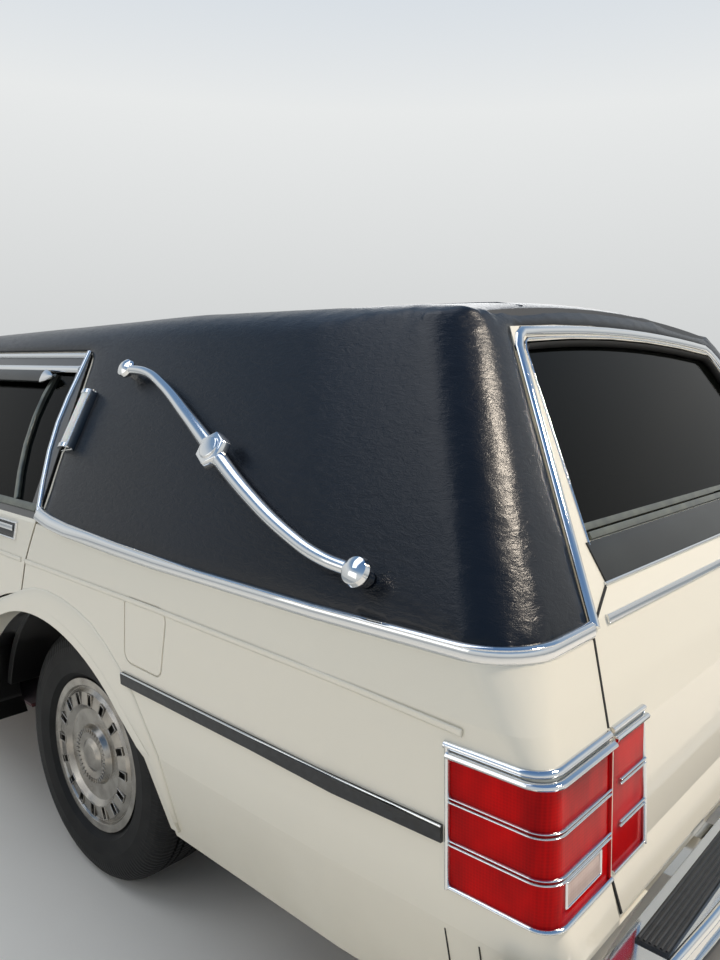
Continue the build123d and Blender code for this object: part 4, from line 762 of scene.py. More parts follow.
def landau_bar(shape):
    """The bar on the left, its two knobs, and its six-sided plate with a raised round boss."""
    curve = bpy.data.curves.new("landau_line", "CURVE")
    curve.dimensions = "3D"
    curve.bevel_depth = LANDAU_RADIUS
    curve.bevel_resolution = 5
    curve.use_fill_caps = True
    line = curve.splines.new("BEZIER")
    line.bezier_points.add(len(LANDAU_PLACES) - 1)
    for point, (y, z), swell in zip(line.bezier_points, LANDAU_PLACES, LANDAU_SWELL):
        point.co = skin(y, z, LANDAU_OUT)[0]
        point.handle_left_type = point.handle_right_type = "AUTO"
        point.radius = swell
    drawn = bpy.data.objects.new("landau_line", curve)
    scene.collection.objects.link(drawn)
    bpy.context.view_layer.update()
    mesh = bpy.data.meshes.new_from_object(drawn.evaluated_get(bpy.context.evaluated_depsgraph_get()))
    shape.from_mesh(mesh)
    bpy.data.objects.remove(drawn)
    bpy.data.meshes.remove(mesh)
    for place, size in zip((LANDAU_PLACES[0], LANDAU_PLACES[-1]), KNOB_SIZES):
        knob(shape, *place, size)
    for radius, low, high, sides in PLATE_LAYERS:
        turned = turned_to(*skin(*PLATE_PLACE, (low + high) / 2))
        stub(shape, turned, sides, radius, radius * PLATE_TAPER, high - low)


one_body("landau_bars_cast", landau_bar, chrome, replaced=("landau_bars",))

# %% [markdown]
# The opera lamp behind each rear door is a tall white tube, half buried in a chrome cradle with a
# cap at each end.

# %% Opera lamps
LAMP_LINE = ((1.200, 1.266), (1.226, 1.140))
CAP_LENGTH = 0.008
CAP_SIZE = (0.044, 0.030)


def lamp_path(grow, out):
    """The lamp's line, lengthened at both ends by a share of itself."""
    (y0, z0), (y1, z1) = LAMP_LINE
    dy, dz = (y1 - y0) * grow, (z1 - z0) * grow
    return along(((y0 - dy, z0 - dz), (y1 + dy, z1 + dz)), out)


lamp_rail = [(place + Vector((0.0, 0.021, 0.004)), outward) for place, outward in lamp_path(0.04, 0.012)]
(lamp_top, lamp_out), (lamp_foot, _) = lamp_path(0.0, 0.014)
cap = (lamp_foot - lamp_top).normalized() * CAP_LENGTH
one_body("opera_lamp_cradles", swept(
    run(lamp_path(0.06, 0.004), 0.044, 0.009, square=True),
    run(lamp_rail, 0.006, 0.022, square=True),
    run(facing(lamp_out, (lamp_top - cap, lamp_top + cap * 0.4)), *CAP_SIZE, sides=20),
    run(facing(lamp_out, (lamp_foot - cap * 0.4, lamp_foot + cap)), *CAP_SIZE, sides=20)), chrome)
one_body("opera_lamp_tubes", swept(run(lamp_path(0.0, 0.013), 0.038, 0.028, sides=20)), opal_lens,
         replaced=("opera_lamps",))

# %% [markdown]
# The belt trim is a bright half-round strip with a fine bead along its top, which hides the edge
# of the vinyl. It starts at the rear door, dips to the belt and turns round the rear corner up to
# the gate. It replaces the plain square strip of the solids.

# %% Belt trim
TRIM_Z = 0.960
TRIM_START = ((1.240, 0.990), (1.275, 0.984), (1.320, 0.978), (1.400, 0.972), (1.500, 0.968), (1.620, 0.9635),
              (1.750, 0.9605))
TRIM_TURN_Y = 1.9                 # from here it runs level to the corner
TRIM_GATE_X = 0.772               # it ends at the gate's joint
BEAD_RISE = 0.0115


def belt_path(rise, out):
    """The trim's line, a little above its middle and out of the body."""
    front = along([(y, z + rise) for y, z in TRIM_START], out)
    return front + round_corner(TRIM_Z + rise, out, TRIM_TURN_Y, TRIM_GATE_X, BELT_HALF)


belt_line = belt_path(0.0, 0.0)
narrowing = [0.036 - 0.010 * index / len(TRIM_START) for index in range(len(TRIM_START))]
belt_widths = narrowing + [0.026] * (len(belt_line) - len(narrowing))
one_body("belt_trim_strip", swept(run(belt_line, belt_widths, 0.016, sides=14),
                                  run(belt_path(BEAD_RISE, PROUD), 0.006, 0.018, sides=8)),
         chrome, replaced=("belt_trim",))

# %% [markdown]
# The tail lamp wraps the corner in three rows. Chrome frames it: a heavy double bead on top, a
# thin edge below and in front, and two bars between the rows, each of two fine wires. The part on
# the gate has bars of its own, because it swings away with the gate. Low on the corner part sits
# the pale reversing lens in a frame.

# %% Tail lamp trim
LAMP_FRONT_Y = 2.467
LAMP_ROWS = (0.7465, 0.6805)      # heights of the bars between the rows
LAMP_LOW_Z = 0.610
LAMP_TOP_Z = 0.815
LAMP_JOINT_X = 0.8080
GATE_JOINTS = (((0.8032, 0.560), (0.8032, 0.604)), ((0.8032, 0.834), (0.7672, 0.964)))
GATE_LAMP = (0.794, 0.683)        # the gate's part of the lamp, across the car
WIRE_STEP = 0.0034
REVERSE_X = (0.945, 0.843)
REVERSE_Z = (0.635, 0.671)
WIRES = [row + rise for row in LAMP_ROWS for rise in (-WIRE_STEP, WIRE_STEP)]


def rear_place(x, z, out=0.0):
    """A place on the rear face beside the gate."""
    return Vector((x, between(REAR_FACE, z)[0] + out, z)), TAIL_OUT


def corner_path(z, out=PROUD, start=LAMP_FRONT_Y, end=LAMP_JOINT_X):
    """A line round the lamp's corner at a height."""
    return round_corner(z, out, start, end)


low, high = REVERSE_Z
reverse_corners = zip(REVERSE_X + REVERSE_X[::-1], (high, high, low, low))
one_body("tail_lamp_frames", swept(
    run(corner_path(LAMP_TOP_Z, 0.003), 0.011, 0.018),
    run(corner_path(LAMP_TOP_Z + 0.0125, start=LAMP_FRONT_Y - 0.006), 0.012, 0.014),
    run(corner_path(LAMP_LOW_Z), 0.007, 0.012),
    *(run(corner_path(z, end=LAMP_JOINT_X + 0.006), 0.0034, 0.010, sides=6) for z in WIRES),
    run(along([(LAMP_FRONT_Y, z) for z in (0.607, 0.70, 0.829)], PROUD), 0.008, 0.012),
    run([rear_place(x, z, PROUD) for x, z in reverse_corners], 0.003, 0.007, sides=6, closed=True)), chrome)
joint_paths = [[rear_place(x, z) for x, z in zip(spread(x0, x1, 4), spread(z0, z1, 4))]
               for (x0, z0), (x1, z1) in GATE_JOINTS]
one_body("gate_joint_rubbers", swept(
    *(run(path, 0.005, 0.002, square=True, bevel=0.0) for path in joint_paths)), black_joints_and_painted_shade)
x0, x1 = GATE_LAMP
one_body("gate_lamp_frames", swept(
    run(on_gate(((x0, LAMP_TOP_Z), (x1 - 0.002, LAMP_TOP_Z)), PROUD), 0.011, 0.018),
    run(on_gate(((x0, LAMP_TOP_Z + 0.012), (x1 - 0.002, LAMP_TOP_Z + 0.012)), PROUD), 0.010, 0.014),
    run(on_gate(((x0, LAMP_LOW_Z), (x1 - 0.002, LAMP_LOW_Z)), PROUD), 0.006, 0.010),
    run(on_gate([(x1, z) for z in (0.607, 0.70, 0.830)], PROUD), 0.006, 0.010),
    *(run(on_gate(((x0 - 0.019, z - 0.002), (x1, z - 0.002)), PROUD), 0.0034, 0.009, sides=6) for z in WIRES)),
    chrome, "rear_gate")
one_body("reversing_lenses", swept(
    run([rear_place(x, (low + high) / 2) for x in REVERSE_X], high - low, 0.004, square=True)), pale_lens)
one_body("tail_lamp_joint_ribs", swept(
    run([rear_place(LAMP_JOINT_X + 0.004, z) for z in (0.614, 0.70, 0.808)], 0.007, 0.008, sides=8)), red_lens)

# %% [markdown]
# Round the gate's opening runs a bright bead, with an ivory frame inside it and the glass in its
# seals. Below the glass come two grey rails, a black panel with a bright lower edge, and then a
# chrome strip across the gate. The joint to the body runs down from the glass corner.

# %% Rear gate trim
GATE_FOOT = (0.764, BELT_Z)
GATE_HEAD = (0.539, 1.430)
GATE_ARCH = 0.022
WINDOW_FOOT = (0.648, 1.068)
WINDOW_HEAD = (0.514, 1.402)
WINDOW_CORNER = 0.02
HANDLE_HEIGHT = 0.862
HANDLE_LINE = ((0.60, 0.004), (0.605, 0.026), (0.63, 0.032), (0.69, 0.032), (0.715, 0.026), (0.72, 0.004))


def gate_loop(foot, head, inset, foot_z, out, corner=0.030):
    """An arched outline on the gate, from its left foot over its top to its right foot."""
    slope = (foot[0] - head[0]) / (head[1] - foot[1])
    top_z = head[1] - inset
    top_x = head[0] + slope * inset - inset
    places = [(foot[0] - slope * (foot_z - foot[1]) - inset, foot_z), (top_x + slope * corner, top_z - corner),
              (top_x - corner * 0.22, top_z - corner * 0.28)]
    for share in (1.0 - corner / top_x, 0.8, 0.6, 0.4, 0.2, 0.0):
        x = top_x * share
        places.append((x, top_z + GATE_ARCH * (1.0 - (x / head[0]) ** 2)))
    left = on_gate(places, out)
    return left + [(Vector((-place.x, place.y, place.z)), outward) for place, outward in reversed(left[:-1])]


def across_gate(z, half, out=0.0):
    """A line across the gate at a height."""
    return on_gate([(x, z) for x in (half, half / 2, 0.0, -half / 2, -half)], out)


def gate_handle(shape):
    """A pull handle and a plain round lock on the latch side."""
    y = gate_place(0.0, 0.86)[0].y
    line = [(-x, y + reach, HANDLE_HEIGHT) for x, reach in HANDLE_LINE]
    sweep(shape, facing(BACK, line), 0.018, 0.010)
    seat = Matrix.Translation((-0.66, y + 0.004, 0.815)) @ Matrix.Rotation(-math.pi / 2, 4, "X")
    stub(shape, seat, 28, 0.019, 0.016, 0.012)


alone("gate_bright_trim", swept(
    run(gate_loop(GATE_FOOT, GATE_HEAD, 0.011, 0.960, 0.0), 0.021, 0.018, sides=14),
    run(gate_loop(WINDOW_FOOT, WINDOW_HEAD, -0.004, 1.062, 0.0, WINDOW_CORNER), 0.005, 0.006, sides=6),
    run(across_gate(0.964, 0.712), 0.014, 0.010, square=True),
    run(across_gate(1.0065, 0.668, PROUD), 0.007, 0.008, sides=8)), chrome, "rear_gate")
alone("gate_rubber_seal", swept(
    run(gate_loop(WINDOW_FOOT, WINDOW_HEAD, 0.004, 1.070, -0.012, WINDOW_CORNER), 0.010, 0.020),
    run(gate_loop(GATE_FOOT, GATE_HEAD, 0.0235, 0.972, 0.0), 0.003, 0.003, sides=6),
    run(on_gate(((0.668, 1.003), (0.712, 0.984), (0.757, 0.962))), 0.005, 0.003, square=True, bevel=0.0)),
    black_joints_and_painted_shade, "rear_gate")
alone("gate_window_rails", swept(
    run(across_gate(1.0745, 0.643, -0.003), 0.013, 0.016, square=True),
    run(across_gate(1.0890, 0.637, -0.011), 0.013, 0.016, square=True)), seal, "rear_gate")
alone("gate_window_panel", swept(
    run(across_gate(1.0380, 0.662), 0.069, 0.005, square=True)), black_gloss, "rear_gate")
alone("gate_pull_handle", gate_handle, chrome, "rear_gate")

# %% [markdown]
# A side door's window frame is black with bright strips: two along its top, one down its rear
# edge and one at the foot of the glass. A grey bar parts the small rear pane, and a smoked visor
# hangs over the window with a bright cap at its end. The handle is a flap in a framed recess; a
# thin black plate over the recess is painted shade.

# %% Side door trim
# For each door: front and rear of the window's top, rear of the visor, front and rear of its foot.
DOORS = {"rear": (0.352, 1.064, 0.912, 0.352, 1.226), "front": (-0.378, 0.322, 0.322, -0.735, 0.322)}
DOOR_TOPS = ((1.3725, 0.016), (1.3355, 0.022))
DOOR_EDGES = {
    "rear": ((1.238, 0.992), (1.184, 1.060), (1.137, 1.128), (1.104, 1.195), (1.086, 1.261), (1.076, 1.330),
             (1.067, 1.383)),
    "front": ((-0.742, 0.996), (-0.560, 1.196), (-0.398, 1.374))}
DIVIDERS = {
    "rear": (((1.090, 1.008), (1.033, 1.070), (0.985, 1.135), (0.950, 1.207), (0.938, 1.265), (0.936, 1.322)),
             -0.006, 0.016, 0.010),
    "front": (((-0.440, 1.008), (-0.440, 1.32)), -0.008, 0.018, 0.012)}
VISOR_Z = 1.309
VISOR_CAP = ((0.962, 0.935, 0.905), (0.004, 0.030, 0.044))
HANDLES = {"rear": (1.032, 1.158), "front": (0.165, 0.291)}
HANDLE_Z = (0.916, 0.957)

for end, (top_front, top_rear, visor_rear, foot_front, foot_rear) in DOORS.items():
    body = end + "_{}_door"
    (y0, y1), (z0, z1) = HANDLES[end], HANDLE_Z
    middle = (top_front + top_rear) / 2
    divider, depth, width, height = DIVIDERS[end]
    bright = [run(level(z, (top_front, middle, top_rear), PROUD), size, 0.012, sides=12) for z, size in DOOR_TOPS]
    bright.append(run(along(DOOR_EDGES[end], PROUD), 0.015, 0.013, sides=12))
    if end == "rear":
        bright.append(run(level(VISOR_Z, VISOR_CAP[0], 0.012), VISOR_CAP[1], 0.013))
    frame_line = along(((y0, z0), (y1 - 0.006, z0), (y1, z1), (y0, z1)), PROUD)
    bright.append(run(frame_line, 0.006, 0.011, sides=8, closed=True))
    bright.append(run(level(0.943, (y0 + 0.012, y1 - 0.012), 0.004), 0.014, 0.010, square=True))
    both_sides(end + "_door_bright_trim", swept(*bright), chrome, body)
    both_sides(end + "_door_window_rails", swept(
        run(level(0.999, (foot_front, foot_rear), PROUD), 0.019, 0.011, square=True),
        run(along(divider, depth), width, height, square=True)), seal, body)
    both_sides(end + "_door_visor_and_painted_recess_shade", swept(
        run(level(VISOR_Z, (top_front + 0.01, visor_rear), 0.010), 0.036, 0.010, square=True),
        # Painted shade: a thin black plate over the handle's recess, carried on the visor's piece.
        run(level((z0 + z1) / 2, (y0, y1 - 0.003)), 0.038, 0.003, square=True)), black_gloss, body)

# %% [markdown]
# A rubber moulding with a bright top edge guards the side. It is broken at every joint and wheel,
# so each panel carries its own length.

# %% Side mouldings
MOULDING_Z = 0.689
MOULDINGS = (("quarter", 1.628, 2.458, "coach_body"), ("rear_door", 0.352, 0.905, "rear_{}_door"),
             ("front_door", -0.735, 0.324, "front_{}_door"), ("fender", -1.345, -0.778, "coach_body"),
             ("fender_nose", -2.460, -1.955, "coach_body"))

for name, start, end, body in MOULDINGS:
    places = spread(start, end, 4)
    both_sides(name + "_moulding", swept(
        run(level(MOULDING_Z, places, PROUD), 0.027, 0.012, square=True, bevel=0.003)), rubber, body)
    both_sides(name + "_moulding_edge", swept(
        run(level(MOULDING_Z + 0.0125, places, 0.005), 0.004, 0.004, sides=6)), chrome, body)

# %% [markdown]
# A pressed line runs along the shoulder from the nose to the tail, and catches the light.

# %% Shoulder line
SHOULDER_LINE = ((-2.5, 0.871), (1.75, 0.871), (2.225, 0.866), (2.508, 0.852))
SHOULDER_RUNS = (("quarter", 1.212, 2.490, "coach_body"), ("rear_door", 0.360, 1.188, "rear_{}_door"),
                 ("front_door", -0.728, 0.316, "front_{}_door"), ("fender", -2.440, -0.786, "coach_body"))

for name, start, end, body in SHOULDER_RUNS:
    line = [skin(y, between(SHOULDER_LINE, y)[0], 0.0008) for y in spread(start, end, 12)]
    panel_paint = door_paint if "door" in name else paint
    both_sides(name + "_shoulder_line", swept(run(line, 0.012, 0.0026, sides=12)), panel_paint, body)

# %% [markdown]
# The body swells softly round each wheel opening. The swelling is a flattened sweep that follows
# the opening's edge, narrow beside the door and wide behind it, in the body's own paint.

# %% Wheel arch flares
ARCH_Z = 0.232
ARCH_RADIUS = 0.510
ARCH_KNEE = math.radians(46.2)
ARCH_LEGS = ((0.440, 0.530), (0.470, 0.385))
FLARE_PROUD = 0.013
FLARES = {
    "rear": ((-0.46, 0.034), (-0.13, 0.042), (0.02, 0.075), (0.22, 0.098), (0.36, 0.085), (0.44, 0.055),
             (0.47, 0.03)),
    "front": ((-0.47, 0.03), (-0.36, 0.075), (0.0, 0.08), (0.36, 0.075), (0.47, 0.03))}


def arch_edge(axle_y):
    """Places on the opening's edge from front to rear, with the direction away from the wheel."""
    edge = [((axle_y - reach, z), (-0.94, 0.34)) for reach, z in ((0.452, 0.470), ARCH_LEGS[0])]
    for angle in spread(math.pi - ARCH_KNEE, ARCH_KNEE, 14):
        away = (math.cos(angle), math.sin(angle))
        edge.append(((axle_y + ARCH_RADIUS * away[0], ARCH_Z + ARCH_RADIUS * away[1]), away))
    return edge + [((axle_y + reach, z), (0.96, 0.26)) for reach, z in ARCH_LEGS]


for end, widths in FLARES.items():
    axle_y = WHEEL_CENTRES[end][0]
    path, sizes = [], []
    for (y, z), (dy, dz) in arch_edge(axle_y):
        width = between(widths, y - axle_y)[0]
        sizes.append(width)
        path.append(skin(y + dy * width / 2, z + dz * width / 2))
    one_body(end + "_arch_flares", swept(run(path, sizes, FLARE_PROUD, sides=24)), paint)

# %% [markdown]
# The bumpers are chromed beams with black rubber: a ribbed step pad on top of the rear one, and a
# strip along the face that follows the beam round its corners.

# %% Bumper rubber
BUMPER_LINE = ((1.016, 2.566), (1.016, 2.632), (1.004, 2.662), (0.972, 2.694), (0.926, 2.729), (0.700, 2.7455),
               (0.416, 2.760))
STEP_PAD = (0.818, (2.676, 2.7245), 0.540)
PAD_RIBS = 6


def bumper_path(z, out, sign):
    """A line round a bumper at a height; sign is 1 at the rear and -1 at the front."""
    points = [Vector((x, y * sign, z)) for x, y in BUMPER_LINE]
    points += [Vector((-p.x, p.y, z)) for p in reversed(points)]
    path = []
    for index, point in enumerate(points):
        before = points[max(index - 1, 0)]
        after = points[min(index + 1, len(points) - 1)]
        outward = (after - before).cross(Vector((0.0, 0.0, 1.0))).normalized() * sign
        path.append((point + outward * out, outward))
    return path


def pad_strip(y, z, half):
    """A line across the bumper's top."""
    return facing(UP, [(x, y, z) for x in (half, 0.0, -half)])


for end, sign in (("rear", 1.0), ("front", -1.0)):
    alone(end + "_bumper_rubber", swept(
        run(bumper_path(0.478, 0.0, sign), 0.040, 0.010, square=True, bevel=0.003)), rubber)
    alone(end + "_bumper_lips", swept(
        *(run(bumper_path(z, -0.001, sign), 0.007, 0.010, sides=8) for z in (0.504, 0.452)),
        *(run(bumper_path(z, -0.006, sign), 0.020, 0.016, sides=12) for z in (0.534, 0.410))), chrome)
half, (y0, y1), z = STEP_PAD
rib_places = [y0 + (y1 - y0) * (index + 0.5) / PAD_RIBS for index in range(PAD_RIBS)]
alone("rear_step_pad", swept(
    run(pad_strip((y0 + y1) / 2, z + 0.001, half), y1 - y0, 0.007, square=True),
    *(run(pad_strip(y, z + 0.0045, half - 0.003), 0.0045, 0.004, sides=6) for y in rib_places)), rubber)

# %% [markdown]
# The seat is leather over foam, so it is simulated as cloth: a slightly small copy of each cushion
# is remeshed into even squares, blown up with pressure, and no point may move further than a cap.
# Channels are pressed in afterwards, because they are narrower than the remeshed squares.

# %% Seat cushions
SEAT_HALF = 0.700
VOXEL = 0.022
SWELL = 0.018                     # no point moves further than this
FRAMES = 14
CHANNEL_PITCH = 0.140
CHANNEL_DEPTH = 0.007
CHANNEL_WIDTH = 0.012
PRESSURE = 4.0
CLOTH_STEPS = 4
CUSHIONS = (("seat_cushion", (-0.232, 0.240), (0.452, 0.582), 0.0),
            ("seat_back", (0.212, 0.330), (0.600, 0.985), 0.20))


def block(shape, size, place, lean=0.0):
    """A block of a size, leant about the X axis and moved to a place."""
    verts = bmesh.ops.create_cube(shape, size=1.0)["verts"]
    bmesh.ops.scale(shape, vec=size, verts=verts)
    bmesh.ops.rotate(shape, cent=(0, 0, 0), matrix=Matrix.Rotation(lean, 3, "X"), verts=verts)
    bmesh.ops.translate(shape, vec=place, verts=verts)
    return verts


def round_block_edges(shape, offset, segments):
    """Rounds every edge of blocks."""
    bmesh.ops.bevel(shape, geom=shape.edges[:], offset=offset, affect="EDGES", segments=segments, profile=0.5,
                    material=-1)


def applied(piece):
    """Turns what the piece's modifiers make into its mesh."""
    mesh = bpy.data.meshes.new_from_object(piece.evaluated_get(bpy.context.evaluated_depsgraph_get()))
    piece.modifiers.clear()
    piece.data = mesh


def inflate(piece):
    """Blows the cushion up as cloth and keeps every point within the cap."""
    at_rest = [vert.co.copy() for vert in piece.data.vertices]
    cloth = piece.modifiers.new("cloth", "CLOTH")
    cloth.settings.use_pressure = True
    cloth.settings.uniform_pressure_force = PRESSURE
    cloth.settings.effector_weights.gravity = 0.0
    cloth.settings.quality = CLOTH_STEPS
    for step in range(1, FRAMES + 1):
        scene.frame_set(step)
    drawn = piece.evaluated_get(bpy.context.evaluated_depsgraph_get())
    blown = [vert.co.copy() for vert in drawn.data.vertices]
    piece.modifiers.remove(cloth)
    scene.frame_set(1)
    for vert, start, end in zip(piece.data.vertices, at_rest, blown):
        move = end - start
        if move.length > SWELL:
            move *= SWELL / move.length
        vert.co = start + move


def press_channels(mesh):
    """Presses the sewn channels into a cushion."""
    for vert in mesh.vertices:
        across = (vert.co.x / CHANNEL_PITCH) % 1.0
        near = min(across, 1.0 - across) * CHANNEL_PITCH
        vert.co -= Vector(vert.normal) * CHANNEL_DEPTH * math.exp(-(near / CHANNEL_WIDTH) ** 2)


def make_cushion(name, y_range, z_range, lean):
    """One cushion, from block to finished piece."""
    def cushion_block(shape):
        size = (2 * SEAT_HALF - 0.03, y_range[1] - y_range[0], z_range[1] - z_range[0])
        for vert in block(shape, size, (0.0, sum(y_range) / 2, sum(z_range) / 2)):
            vert.co.y += lean * (vert.co.z - z_range[0])
        round_block_edges(shape, 0.035, 4)

    piece = alone(name, cushion_block, seat_leather)
    remesh = piece.modifiers.new("even", "REMESH")
    remesh.mode = "VOXEL"
    remesh.voxel_size = VOXEL
    applied(piece)
    inflate(piece)
    soften = piece.modifiers.new("soften", "SUBSURF")
    soften.levels = soften.render_levels = 1
    applied(piece)
    press_channels(piece.data)
    piece.data.materials.clear()
    piece.data.materials.append(seat_leather)
    piece.data.polygons.foreach_set("use_smooth", [True] * len(piece.data.polygons))
    print(name, len(piece.data.polygons), "faces")


def seat_frame(shape):
    """The carpeted box under the bench and the panel behind its back."""
    block(shape, (1.36, 0.50, 0.114), (0.0, 0.075, 0.389))
    block(shape, (1.34, 0.02, 0.36), (0.0, 0.366, 0.79), -0.21)
    round_block_edges(shape, 0.012, 3)


for values in CUSHIONS:
    make_cushion(*values)
alone("seat_frame", seat_frame, pile_carpet, replaced=("front_seat",))

# %% [markdown]
# Inside the tail a burgundy bolster lies along the sill of the rear window, where it shows as a
# dark red band through the glass. The cabin also gets a plain ring round each of two dials, a long
# vent beside them, and a padded hub on the steering wheel.

# %% Cabin details
WHEEL_HUB = Vector((0.390, -0.470, 0.850))
WHEEL_TILT = Vector((0.0, 0.86, 0.5)).normalized()
DIAL_RADIUS = 0.058
DIAL_Z = 0.825
DASH_FACE_Y = -0.650
VENT_HEIGHTS = (0.80, 0.815, 0.83, 0.845)


def dial(middle_x):
    """A ring round one dial."""
    return facing(BACK, [(middle_x + DIAL_RADIUS * math.cos(angle), DASH_FACE_Y + 0.002,
                          DIAL_Z + DIAL_RADIUS * math.sin(angle)) for angle in spread(0.0, 2 * math.pi, 24)[:-1]])


def wheel_hub(shape):
    """A padded four-sided hub on the steering wheel."""
    turned = turned_to(WHEEL_HUB + WHEEL_TILT * 0.018, WHEEL_TILT) @ Matrix.Rotation(math.pi / 4, 4, "Z")
    stub(shape, turned, 4, 0.085, 0.060, 0.036, 0.010, 3)


sill_line = facing(UP, [(x, 2.395 - abs(x) * 0.01, 1.090) for x in (0.60, 0.3, 0.0, -0.3, -0.60)])
bolster = alone("rear_sill_bolster", swept(run(sill_line, 0.055, 0.055, sides=20)), seat_leather, "rear_gate")
alone("steering_hub_pad", wheel_hub, trim_plastic)
alone("dash_bezels", swept(
    *(run(dial(x), 0.008, 0.010, sides=8, closed=True) for x in (0.31, 0.47)),
    *(run(facing(BACK, [(x, DASH_FACE_Y + 0.001, z) for x in (-0.10, -0.55)]), 0.007, 0.008, sides=6)
      for z in VENT_HEIGHTS)), chrome)

# %% [markdown]
# The front follows the same kind of car: bright bezels round the lamp pairs, amber corner lamps,
# a bright cap over the grille, wipers at the foot of the windshield and a bright strip round it.

# %% Front details
NOSE_Y = -2.622
LAMP_PAIRS = ((0.500, 0.683), (0.697, 0.880))
LAMP_HEIGHTS = (0.640, 0.770)
SCREEN_FOOT = (0.925, 0.990)
SCREEN_HEAD = (0.690, 1.366)
SCREEN_FOOT_Y = -1.040
SCREEN_RUN, SCREEN_RISE = 0.480, 0.415
SCREEN_RADIUS = 3.4                # its bow across the car
GRILLE_CAP_X = (0.436, 0.2, 0.0)
WIPER_PIVOTS = (0.50, -0.06)
WIPER_REACH = -0.46
MIRROR_CORNERS = ((1.037, 0.968), (1.155, 0.968), (1.155, 1.047), (1.037, 1.047))
MIRROR_FACE_Y = -0.6035
HOOD_FRONT_Z, HOOD_SLOPE = 0.858, 0.0711


def windshield_point(x, z, out=0.0):
    """A place on the raked, curved windshield."""
    rake = SCREEN_RUN / SCREEN_RISE
    bow = x * x / (2 * SCREEN_RADIUS)
    y = SCREEN_FOOT_Y + rake * (z - BELT_Z) + bow / math.cos(math.atan(rake))
    outward = Vector((x / SCREEN_RADIUS * 0.6, -SCREEN_RISE, SCREEN_RUN)).normalized()
    return Vector((x, y, z)) + outward * out, outward


def wiper_line(pivot_x, z, rise, out, shares):
    """A line from a wiper's pivot over the glass."""
    return [windshield_point(pivot_x + WIPER_REACH * share, z + rise * share, out) for share in shares]


def nose_line(places, z, out):
    """A line across the nose at a height; out is how far it stands forward."""
    return facing(AHEAD, [(x, NOSE_Y - out, z) for x in places])


z0, z1 = LAMP_HEIGHTS
bezels = [facing(AHEAD, [(x, NOSE_Y + 0.003, z) for x, z in ((x0, z0), (x1, z0), (x1, z1), (x0, z1))])
          for x0, x1 in LAMP_PAIRS]
one_body("front_bright_bezels", swept(
    *(run(path, 0.010, 0.020, sides=8, closed=True) for path in bezels),
    run(nose_line(GRILLE_CAP_X, 0.803, 0.012), 0.020, 0.026, sides=14),
    run(nose_line(GRILLE_CAP_X, 0.558, 0.012), 0.012, 0.020, sides=12)), chrome)
(x0, z0), (x1, z1) = SCREEN_FOOT, SCREEN_HEAD
screen_foot = [windshield_point(x0 * share, z0, PROUD) for share in (0.0, 0.25, 0.5, 0.75)]
screen_side = [windshield_point(x0 + (x1 - x0) * share, z0 + (z1 - z0) * share, PROUD)
               for share in (0.0, 0.33, 0.66, 1.0)]
screen_top = [windshield_point(x1 * share, z1, PROUD) for share in (0.75, 0.5, 0.25, 0.0)]
one_body("windshield_surround", swept(run(screen_foot + screen_side + screen_top, 0.014, 0.010)), chrome)
one_body("amber_corner_lamps", swept(
    run(nose_line((0.52, 0.87), 0.606, -PROUD), 0.034, 0.008, square=True),
    run(level(0.640, (-2.46, -2.36), PROUD), 0.030, 0.008, square=True)), amber_lens)
wiper_runs = []
for pivot_x in WIPER_PIVOTS:
    wiper_runs.append(run(wiper_line(pivot_x, 1.000, 0.055, 0.006, (0.0, 0.3, 0.6)), 0.009, 0.006, sides=6))
    wiper_runs.append(run(wiper_line(pivot_x, 1.022, 0.022, 0.004, (0.12, 0.5, 1.0)), 0.006, 0.008, sides=6))
alone("windshield_wipers", swept(*wiper_runs), black_joints_and_painted_shade)
spear_up = Vector((0.0, -0.07, 1.0)).normalized()
spear_line = facing(spear_up, [(0.0, y, HOOD_FRONT_Z + HOOD_SLOPE * (y - NOSE_Y)) for y in (-2.50, -1.9, -1.12)])
alone("hood_spear", swept(run(spear_line, (0.010, 0.014, 0.010), 0.012)), chrome, "hood_lid")
mirror_rim = facing(BACK, [(x, MIRROR_FACE_Y, z) for x, z in MIRROR_CORNERS])
mirror_middle = facing(BACK, [(x, MIRROR_FACE_Y, 1.0075) for x in (1.039, 1.153)])
both_sides("door_mirror_rim", swept(run(mirror_rim, 0.006, 0.006, sides=8, closed=True)), rubber, "front_{}_door")
both_sides("door_mirror_glass", swept(run(mirror_middle, 0.077, 0.002, square=True, bevel=0.0)), chrome,
           "front_{}_door")

# %% [markdown]
# Each wheel cover has sixteen slots near its rim, each with a bright raised frame, and a ring of
# small notches round its plain centre. They are drawn once for the left rear wheel's centre, then
# moved to each wheel and turned over for the right side. A black strip just behind each slot is
# painted shade in the slot.

# %% Wheel cover details
SLOTS = 16
SLOT_RADIUS = 0.150
SLOT_HALF = (0.0095, 0.0165)
NOTCHES = 36
COVER_FACE = 0.090                # the cover's face, out from the wheel's middle plane
TRACKS = {"front": 0.780, "rear": 0.778}


def about_wheel(count, points):
    """A path over the points, repeated round the wheel's axle."""
    turns = [Matrix.Rotation(2 * math.pi * index / count, 4, "X") for index in range(count)]
    return [facing(OUT, [turn @ Vector(point) for point in points]) for turn in turns]


half, reach = SLOT_HALF
slot_corners = [(COVER_FACE + 0.0065, side * half, SLOT_RADIUS + end * reach)
                for side, end in ((1, 1), (1, -1), (-1, -1), (-1, 1))]
notch_ends = [(COVER_FACE + 0.009, 0.0, radius) for radius in (0.061, 0.072)]
shadow_ends = [(COVER_FACE - 0.0035, 0.0, SLOT_RADIUS + reach) for reach in (-0.0155, 0.0155)]
cover_frames = swept(
    *(run(path, 0.003, 0.006, sides=6, closed=True) for path in about_wheel(SLOTS, slot_corners)),
    *(run(path, 0.004, 0.004, sides=6) for path in about_wheel(NOTCHES, notch_ends)))
# Painted shade: black strips just behind the slots.
cover_shadows = swept(
    *(run(path, 0.017, 0.002, square=True, bevel=0.0) for path in about_wheel(SLOTS, shadow_ends)))

